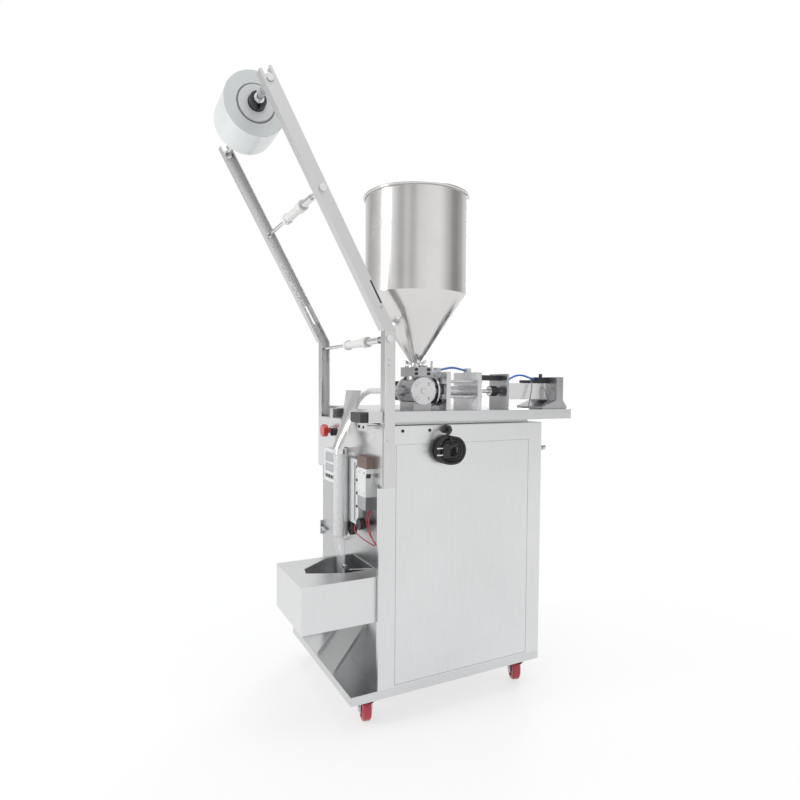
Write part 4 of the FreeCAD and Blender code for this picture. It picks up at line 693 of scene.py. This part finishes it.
# %% Screws of the frame and the filler
STEEL, CHROME, BLACK = MATERIALS["machined_steel"], MATERIALS["chromed_rod"], MATERIALS["black_plastic"]
FILLER_X, FILLER_Z, VALVE_Y = 159.5, 851, 215.6
COVER_BOLTS, FLANGE_BOLTS = 27, 35
for x, z, kind in ((-122, 729, "stop"), (-67, 729, "selector"), (-20, 735, "button")):
    collar("bezel_" + kind, "control_panel", (x, 78.6, z), "Y", 13.5 * MM, 4 * MM, 3.9 * MM, CHROME)
screws("column_screws", "right_column", [(242.5, 98, 928), (242.5, 98, 914), (242.5, 95, 729)], "X", 1,
       3.6 * MM, 2.2 * MM, STEEL)
screws("column_screws_left", "left_column", [(-242.5, 98, 928), (-242.5, 98, 914), (-242.5, 95, 729)], "X", -1,
       3.6 * MM, 2.2 * MM, STEEL)
cover_ring = [(205.5, VALVE_Y + COVER_BOLTS * math.cos(math.radians(a)),
               FILLER_Z + COVER_BOLTS * math.sin(math.radians(a))) for a in (45, 135, 225, 315)]
screws("cover_caps", "valve_cover", cover_ring, "X", 1, 5.2 * MM, 5.0 * MM, STEEL)
print("small turned parts set")

# %% [markdown]
# ## Wound film
# The roll is wound from thin milky film, so its end faces show fine rings and its
# tread is smooth. The rings are noise along the distance from the reel's own axis.

# %% Film roll
REEL_Y, REEL_Z = -196.9, 1532.8
CORE_SHADE_RIM, CHUCK_EDGE = (0.0425, 0.0432), (0.0212, 0.0218)


def from_reel_axis(paint):
    centred = paint.add("ShaderNodeMapping", None, {"Vector": paint.place, "Location": -at(0, REEL_Y, REEL_Z)})
    flat = paint.add("ShaderNodeVectorMath", {"operation": "MULTIPLY"}, {0: centred, 1: (0, 1, 1)})
    return paint.add("ShaderNodeVectorMath", {"operation": "LENGTH"}, {0: flat}, 1)


layers = Paint("wound_film")
rings = layers.add("ShaderNodeTexNoise", {"noise_dimensions": "1D"},
                   {"W": from_reel_axis(layers) * 420, "Scale": 1.0, "Detail": 4, "Roughness": 0.7})
drift = layers.noise(20, (1, 1, 1), 3)
tone = layers.ramp(rings * 0.75 + drift * 0.25, 0.30, 0.70)
WOUND = layers.finish({"Base Color": layers.mix(tone, rgb(0.62, 0.64, 0.64), rgb(0.74, 0.76, 0.76)),
                       "Roughness": drift * 0.15 + 0.24, "Coat Weight": 0.3,
                       "Normal": layers.bump(rings, 0.00010)})

# %% Core and chucks
# The core's end turns dark at its outer rim: a painted shade line where the film meets the core.
card = Paint("core_ring")
edge = card.ramp(from_reel_axis(card), *CORE_SHADE_RIM)
fibre = card.noise(180, (1, 1, 1), 3)
CARD = card.finish({"Base Color": card.mix(edge * (fibre * 0.3 + 0.8), rgb(0.66, 0.67, 0.67),
                                           rgb(0.20, 0.20, 0.20)),
                    "Roughness": fibre * 0.2 + 0.5, "Normal": card.bump(fibre, 0.0001)})
disc = Paint("chuck")
outside = disc.ramp(from_reel_axis(disc), *CHUCK_EDGE)
peel = disc.noise(200, (1, 1, 1), 2)
CHUCK = disc.finish({"Base Color": disc.mix(outside, rgb(0.03, 0.03, 0.033), rgb(0.70, 0.71, 0.71)),
                     "Roughness": peel * 0.12 + 0.32, "Normal": disc.bump(peel, 0.00003)})
for name, width, finish in (("film_roll", 1.2, WOUND), ("film_core", 0.5, CARD), ("roll_chucks", 1.0, CHUCK),
                            ("lower_roller", 0.8, None), ("upper_roller", 0.8, None)):
    dress(name, width, 3, finish)

# %% [markdown]
# ## Film on the forming tube
# Between the former and the jaws the film is one clear skin round the steel tube. It
# is see-through, with soft milky clouds and a gloss that shows its folds.

# %% Clear film
CLEAR = clear_skin("clear_film", rgb(0.88, 0.89, 0.90), 0.26, 0.48, (1, 1, 0.12), 0.0009)
dress("film_tube", 0.2, 1, CLEAR)
print("film is wound and drawn down")

# %% [markdown]
# ## Casters
# Each caster is a pressed zinc fork under its plate and a red wheel with a
# rounded tread. The fork and the wheel already have their shapes, so both are dressed.

# %% Casters
for corner in ("front_right", "rear_right", "front_left", "rear_left"):
    dress("caster_fork_" + corner, 0.5)
    dress("caster_wheel_" + corner, 2.2, 4)
print("four casters")

# %% [markdown]
# ## Vertical seal
# The right bar is faced with a pale non-stick strip, with a sunk centre line and three
# set screws. A white block drives it, with a dark terminal on its side, a cast guide
# under it and a brown insulating block above it that keeps the heat from the table.

# %% Seal bars
bar_face = moulded("bar_face", (0.72, 0.73, 0.73), 0.26, coat=0.5)
sunk_line = brushed("sunk_line", (0.52, 0.52, 0.53), "Z", 0.35)
insulation = moulded("insulation", (0.20, 0.135, 0.115), 0.6, vary=0.2)
for name in ("seal_bar_right", "seal_bar_left"):
    wear(bpy.data.objects[name + "_dressed"], bar_face)
for side, x in (("right", 88), ("left", 13)):
    groove = block("bar_groove_" + side, at(x + 8, 66.0, 505), at(x + 17, 67.2, 660))
    step_in(groove, facing("Y", -1), 1.2 * MM, -0.35 * MM)
    mount(round_edges(groove, 0.3 * MM), "seal_bar_" + side, sunk_line)
    screws("bar_screws_" + side, "seal_bar_" + side, [(x + 27, 66.6, z) for z in (650, 615, 580, 545)], "Y", -1,
           4.2 * MM, 2.0 * MM, BLACK)

# %% Seal cylinder
case = hold(bpy.data.objects["seal_cylinder_dressed"])
BLOCK_LOW, BLOCK_HIGH = at(0, 0, 579).z, at(0, 0, 652).z
for level in (BLOCK_LOW, BLOCK_HIGH):
    bpy.ops.object.mode_set(mode="EDIT")
    bpy.ops.mesh.select_all(action="SELECT")
    bpy.ops.mesh.bisect(plane_co=(0, 0, level), plane_no=(0, 0, 1))
    done()
case.data.materials.append(insulation)
# The cast guide takes the darker cast steel, whose colour is partly painted shade.
case.data.materials.append(MATERIALS["cast_steel"])
for face in case.data.polygons:
    face.material_index = 1 if face.center.z > BLOCK_HIGH else 2 if face.center.z < BLOCK_LOW else 0
terminal = block("seal_terminal", at(179.4, 63.5, 629), at(183.5, 75, 650))
step_in(terminal, facing("X", 1), 2 * MM, -1.5 * MM)
mount(round_edges(terminal, 0.8 * MM), "seal_cylinder", BLACK)
screws("cylinder_screws", "seal_cylinder", [(x, 62, z) for x in (138, 171) for z in (590, 641)], "Y", -1,
       3.2 * MM, 1.8 * MM, STEEL)
print("vertical seal dressed")

# %% [markdown]
# ## Controller and keys
# The temperature controller is a square meter with two dark windows and four keys.
# Its windows are glossy and unlit, and the keys are plain.

# %% Controller face
window = moulded("meter_window", (0.26, 0.27, 0.29), 0.10, depth=0.0, coat=1.0)
bezel = block("meter_bezel", at(-120, 60.5, 583), at(-24, 63.5, 679))
step_in(bezel, facing("Y", -1), 7 * MM, -1.6 * MM)
mount(round_edges(bezel, 1.0 * MM, 3), "temperature_controller", MATERIALS["meter_case"])
for name, low, high in (("upper", 641, 668), ("lower", 612, 635)):
    glass = block("meter_window_" + name, at(-108, 61.2, low), at(-36, 63, high))
    step_in(glass, facing("Y", -1), 2.4 * MM, -0.5 * MM)
    mount(round_edges(glass, 0.5 * MM), "temperature_controller", window)
keys = []
for x in (-102, -82, -62, -42):
    key = block("meter_key", at(x - 7, 60.9, 593), at(x + 7, 62.6, 603))
    step_in(key, facing("Y", -1), 1.6 * MM, 0.5 * MM)
    keys.append(key)
mount(round_edges(gather("meter_keys", keys), 0.6 * MM), "temperature_controller", BLACK)
print("controller with", len(keys), "keys")

# %% [markdown]
# ## Heater leads
# Two pairs of red silicone leads hang in loose bows between the seal cylinder, the
# jaws and the front sheet. Each is a NURBS curve that starts and ends on its piece.

# %% Leads
lead_red = moulded("lead_red", (0.52, 0.05, 0.07), 0.35, coat=0.3)
LEADS = {
    "lead_upper": [(150, 88, 547), (150, 80, 528), (158, 76, 505), (150, 84, 482), (166, 90, 462),
                   (176, 97.5, 452)],
    "lead_lower": [(162, 88, 547), (164, 78, 522), (174, 76, 498), (168, 84, 476), (180, 90, 455),
                   (190, 97.5, 446)],
    "lead_bar": [(96, 72, 497), (98, 66, 484), (112, 64, 474), (132, 74, 462), (150, 88, 452),
                 (158, 97.5, 446)],
    "lead_left": [(-6, 76, 497), (-12, 70, 478), (-22, 72, 450), (-30, 82, 428), (-36, 90, 418),
                  (-40, 97.5, 414)],
}
for name, spots in LEADS.items():
    lead = spline_piece(name, [at(*spot) for spot in spots], 1.5 * MM)
    wear(lead, lead_red)
    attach(lead, "machine")
print(len(LEADS), "heater leads")

# %% Knob beside the jaws
knob = drum("pressure_knob", at(139, 60, 503), "Y", 15 * MM, 16 * MM, 48)
step_in(knob, facing("Y", -1), 3 * MM, -1.5 * MM)
stem = drum("knob_stem", at(139, 75.6, 503), "Y", 6 * MM, 22.2 * MM, 32)
step_in(stem, facing("Y", 1), 1 * MM, 0)
mount(round_edges(gather("pressure_knob", [knob, stem]), 1.2 * MM, 3), "front_panel", BLACK)
print("knob set on the front sheet")

# %% [markdown]
# ## Filler fittings
# The hopper's clamp is held down by two wing nuts and the valve cover by cap screws. A
# locating pin stands behind the clamp, and the rod's coupling is blackened steel.

# %% Wing nuts and pin
def wing_nut(name, spot):
    x, y, z = spot
    hub = drum(name, at(x, y, z), "Z", 5 * MM, 8 * MM, 24)
    step_in(hub, facing("Z", 1), 1.5 * MM, 1.5 * MM)
    wings = []
    for side in (-1, 1):
        wing = block(name, at(x - 1.8, y + side * 4 - (8 if side < 0 else 0), z + 3),
                     at(x + 1.8, y + side * 4 + (8 if side > 0 else 0), z + 12))
        pick(wing, facing("Y", side))
        bpy.ops.transform.translate(value=(0, side * 1.5 * MM, 4 * MM))
        done()
        wings.append(wing)
    return round_edges(gather(name, [hub] + wings), 0.9 * MM, 3)


for number, x in enumerate((127.5, 191.5), 1):
    mount(wing_nut("clamp_wing_nut_%d" % number, (x, VALVE_Y, 917.8)), "valve_body", STEEL)

# %% Manifold, pin and flange rings
manifold = block("hose_manifold", at(147, 257.5, 874), at(173, 275.9, 905))
step_in(manifold, facing("X", 1), 3 * MM, -1 * MM)
step_in(manifold, facing("Z", 1), 2 * MM, 1.5 * MM)
pin = drum("locating_pin", at(160, 265, 906), "Z", 3.2 * MM, 25 * MM, 24)
step_in(pin, facing("Z", 1), 1 * MM, 1 * MM)
mount(round_edges(gather("hose_manifold", [manifold, pin]), 0.8 * MM), "filling_cylinder", STEEL)
# The valve body, its front flange ring and the cylinder brackets take the darker cast steel: cast metal,
# darkened as painted shade.
SHADED_CAST = MATERIALS["cast_steel"]
wear(bpy.data.objects["valve_body_dressed"], SHADED_CAST)
collar("flange_ring_front", "valve_body", (FILLER_X, 253.5, FILLER_Z), "Y", 36 * MM, 10 * MM, 7 * MM, SHADED_CAST, 64)
collar("flange_ring_rear", "filling_cylinder", (FILLER_X, 263.5, FILLER_Z), "Y", 41 * MM, 15 * MM, 8 * MM,
       STEEL, 64)
ring_bolts = [(FILLER_X + FLANGE_BOLTS * math.cos(math.radians(a)), 263.5,
               FILLER_Z + FLANGE_BOLTS * math.sin(math.radians(a))) for a in
              (-60, -20, 20, 60, 120, 160, 200, 240)]
screws("ring_bolts", "filling_cylinder", ring_bolts, "Y", -1, 4.4 * MM, 4.5 * MM, BLACK)
collar("barrel_ring", "valve_body", (122.2, VALVE_Y, FILLER_Z), "X", 40 * MM, 4 * MM, 9 * MM, STEEL, 64)
screws("clamp_bolts", "valve_body", [(197.5, y, z) for y in (197, 234) for z in (896, 907)], "X", 1, 4.2 * MM,
       3.5 * MM, BLACK)
screws("clamp_caps", "valve_body", [(x, y, 914) for x in (138, 181) for y in (197, 234)], "Z", 1, 5.2 * MM,
       5 * MM, STEEL)
print(len(ring_bolts), "bolts in the flange ring")

# %% Coupling and cylinder caps
collar("coupling_sleeve", "piston_rod", (FILLER_X, 456, FILLER_Z), "Y", 14.6 * MM, 1.2 * MM, 23 * MM, BLACK)
screws("plate_caps", "filling_cylinder",
       [(FILLER_X + dx, 276, FILLER_Z + dz) for dx in (-30, 30) for dz in (-40, 40)],
       "Y", -1, 4 * MM, 2.5 * MM, STEEL)
screws("air_caps", "air_cylinder",
       [(FILLER_X + dx, 495, FILLER_Z + dz) for dx in (-17.5, 17.5) for dz in (-17.5, 17.5)],
       "Y", -1, 3.2 * MM, 0.8 * MM, STEEL)
screws("bracket_caps", "cylinder_brackets",
       [(FILLER_X + dx, 616 + dy, 806) for dx in (-38, 38) for dy in (0, 62)],
       "Z", 1, 4.2 * MM, 3 * MM, STEEL)
wear(bpy.data.objects["cylinder_brackets_dressed"], SHADED_CAST)
fittings = bpy.data.objects["air_fittings_dressed"]
fittings.data.materials.append(MATERIALS["meter_case"])
pale_reach, pale_level = at(0, 389, 0).y, at(0, 0, 897).z
for face in fittings.data.polygons:
    face.material_index = 1 if face.center.y < pale_reach and face.center.z > pale_level else 0
print("filler fitted")

# %% [markdown]
# ## Sensor leads
# Two thin grey leads run from the cylinder's position sensors down to the table. They
# are short, stiff in their sheaths, and end in a bow that lies on the table.

# %% Thin leads
lead_grey = moulded("lead_grey", (0.20, 0.20, 0.21), 0.4)
THIN = {
    "sensor_lead_front": [(176, 588, 884), (190, 588, 880), (196, 580, 850), (196, 572, 815), (200, 566, 802.2),
                          (206, 580, 801.6), (204, 600, 801.6), (196, 610, 801.6)],
    "sensor_lead_rear": [(176, 632, 866), (194, 634, 858), (200, 640, 826), (204, 648, 802.4),
                         (208, 630, 801.6), (210, 606, 801.6), (204, 590, 801.6)],
}
for name, spots in THIN.items():
    lead = spline_piece(name, [at(*spot) for spot in spots], 1.4 * MM)
    wear(lead, lead_grey)
    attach(lead, "machine")
print(len(THIN), "sensor leads")

# %% [markdown]
# ## Cord gland
# A nut and a tapered sleeve grip the lead where it leaves the side sheet. The sleeve is
# a short curve whose radius shrinks from point to point.

# %% Gland nut and sleeve
SLEEVE = [(251.5, 262.8, 752.8), (258, 262.6, 752.7), (264, 261.2, 752.3), (269, 257.8, 750.4)]
relief = spline_piece("strain_relief", [at(*spot) for spot in SLEEVE], 6.0 * MM, sides=6)
for knot, share_left in zip(relief.data.splines[0].points, (1.0, 0.92, 0.82, 0.72)):
    knot.radius = share_left
wear(relief, MATERIALS["cord_black"])
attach(relief, "machine")
dress("power_gland", 0.6, 3)
print("gland and sleeve grip the lead")

# %% [markdown]
# ## Small fittings of the cabinet
# A few fittings break up the plain sheets: two black screw heads in the right side's top band, which paint the
# shade inside two small holes, a latch at the rear edge, a slide bolt at the left front, a catch and a lip on
# the jaw box, and a bracket under the film mark sensor.

# %% Band screws and latches
# The two black heads in the top band are painted shade for two small holes.
screws("band_hole_shades", "right_side_panel", [(237.5, 137.5, 751), (237.5, 215.4, 751)], "X", 1,
       4.2 * MM, 1.6 * MM, BLACK)
latch = drum("rear_latch", at(227, 584.2, 690), "Y", 4.5 * MM, 12 * MM, 32)
latch_knob = drum("rear_latch_knob", at(227, 595, 690), "Y", 7.5 * MM, 9 * MM, 32)
step_in(latch, facing("Y", 1), 1 * MM, 0)
step_in(latch_knob, facing("Y", 1), 2 * MM, 1.2 * MM)
mount(round_edges(gather("rear_latch", [latch, latch_knob]), 0.9 * MM, 3), "rear_panel", STEEL)
keep = block("bolt_plate", at(-235.5, 88.5, 388), at(-231.5, 97.9, 432))
step_in(keep, facing("X", 1), 1.6 * MM, -0.6 * MM)
bolt = drum("slide_bolt", at(-235, 92, 410), "X", 3.4 * MM, 42 * MM, 32)
step_in(bolt, facing("X", 1), 1 * MM, 1 * MM)
bolt_stand = block("bolt_stand", at(-214, 88.5, 404), at(-204, 97.9, 416))
step_in(bolt_stand, facing("Y", -1), 1.5 * MM, 0.6 * MM)
mount(round_edges(gather("slide_bolt", [keep, bolt, bolt_stand]), 0.6 * MM), "front_panel", STEEL)
print("latch and slide bolt set")

# %% Jaw box fittings
JAW_TOP = 388.5
lip = block("jaw_lip", at(145.6, 30, JAW_TOP), at(149.6, 92, JAW_TOP + 2.2))
pick(lip, facing("Y", 1, 0.5))
bpy.ops.transform.translate(value=(20 * MM, 0, 0))
done()
step_in(lip, facing("Z", 1), 0.8 * MM, -0.4 * MM)
mount(round_edges(lip, 0.3 * MM), "jaw_box", STEEL)
catch = drum("jaw_catch", at(129.5, 26, JAW_TOP), "Z", 5.5 * MM, 9 * MM, 32)
step_in(catch, facing("Z", 1), 1.5 * MM, 1.2 * MM)
mount(round_edges(catch, 0.8 * MM, 3), "jaw_box", STEEL)
print("lip and catch set on the jaw box")

# %% Sensor bracket
bracket = block("sensor_bracket", at(182, 38, 752), at(226, 44.9, 773.2))
step_in(bracket, facing("Y", -1), 3 * MM, -1.2 * MM)
foot = block("bracket_arm", at(196, 44, 756), at(212, 84.2, 764))
step_in(foot, facing("Z", 1), 2 * MM, 0.6 * MM)
mount(round_edges(gather("sensor_bracket", [bracket, foot]), 0.8 * MM), "mark_sensor", STEEL)
screws("bracket_screws", "mark_sensor", [(190, 39.4, 762), (218, 39.4, 762)], "Y", -1,
       3.6 * MM, 2.4 * MM, BLACK)
print("sensor bracket set")

# %% [markdown]
# ## Shaded sheets
# The leaning arms are rolled strip with hardly any grain. The front sheet and the chute are painted darker than
# the outer sheets, as painted shade on the recessed front, and the inside of the jaw box is painted darker
# still, as painted shade inside the box. A thin black piece paints the shade inside the slit low on the right
# arm.

# %% Arms, front sheet and jaw box
arm_steel = brushed("arm_steel", (0.65, 0.65, 0.65), "Z", 0.38, 0.000003, 0.06)
# The front sheet and the chute get a darker steel than the outer sheets: painted shade.
recess_shade_steel = brushed("recess_shade_steel", (0.54, 0.545, 0.55), "Z", 0.36)
# Faces inside the jaw box get a much darker steel: painted shade inside the box.
box_shade_steel = brushed("box_shade_steel", (0.40, 0.405, 0.41), "X", 0.38)
for name in ("right_arm", "left_arm"):
    wear(bpy.data.objects[name + "_dressed"], arm_steel)
wear(bpy.data.objects["front_panel_dressed"], recess_shade_steel)
wear(bpy.data.objects["chute_dressed"], recess_shade_steel)
jaw_case = bpy.data.objects["jaw_box_dressed"]
jaw_case.data.materials.append(box_shade_steel)
low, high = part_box("jaw_box")
SKIN, RIM = 0.4 * MM, 4 * MM
# Outer faces and the rim keep the bright steel, and the faces inside take the painted shade.
for face in jaw_case.data.polygons:
    spot = face.center
    outer = (spot.x < low[0] + SKIN or spot.x > high[0] - SKIN or spot.y < low[1] + SKIN or
             spot.z < low[2] + SKIN or spot.z > high[2] - RIM)
    face.material_index = 0 if outer else 1
print("sheets shaded")

# %% Slit in the right arm
LEAN, SLIT_UP, SLIT_OUT = math.radians(28.8), 97, 11
# The thin black block is painted shade for the dark inside of the slit.
slit = block("arm_slit", Vector((-0.3, -2.1, -30)) * MM, Vector((0.3, 2.1, 30)) * MM)
slit.rotation_euler = (LEAN, 0, 0)
slit.location = at(242.5, 96 + SLIT_OUT * math.cos(LEAN) - SLIT_UP * math.sin(LEAN),
                   1000 + SLIT_OUT * math.sin(LEAN) + SLIT_UP * math.cos(LEAN))
settle(slit)
step_in(slit, facing("X", 1), 0.6 * MM, -0.15 * MM)
mount(slit, "right_arm", BLACK)
print("slit set in the right arm")

# %% Last dressed nodes
for name, width in (("valve_rotor", 0.4), ("emergency_stop", 1.6), ("selector_switch", 0.6),
                    ("push_button", 0.6), ("pull_wheel_right", 0.8), ("pull_wheel_left", 0.8),
                    ("air_hoses", 0.1)):
    dress(name, width, 3)
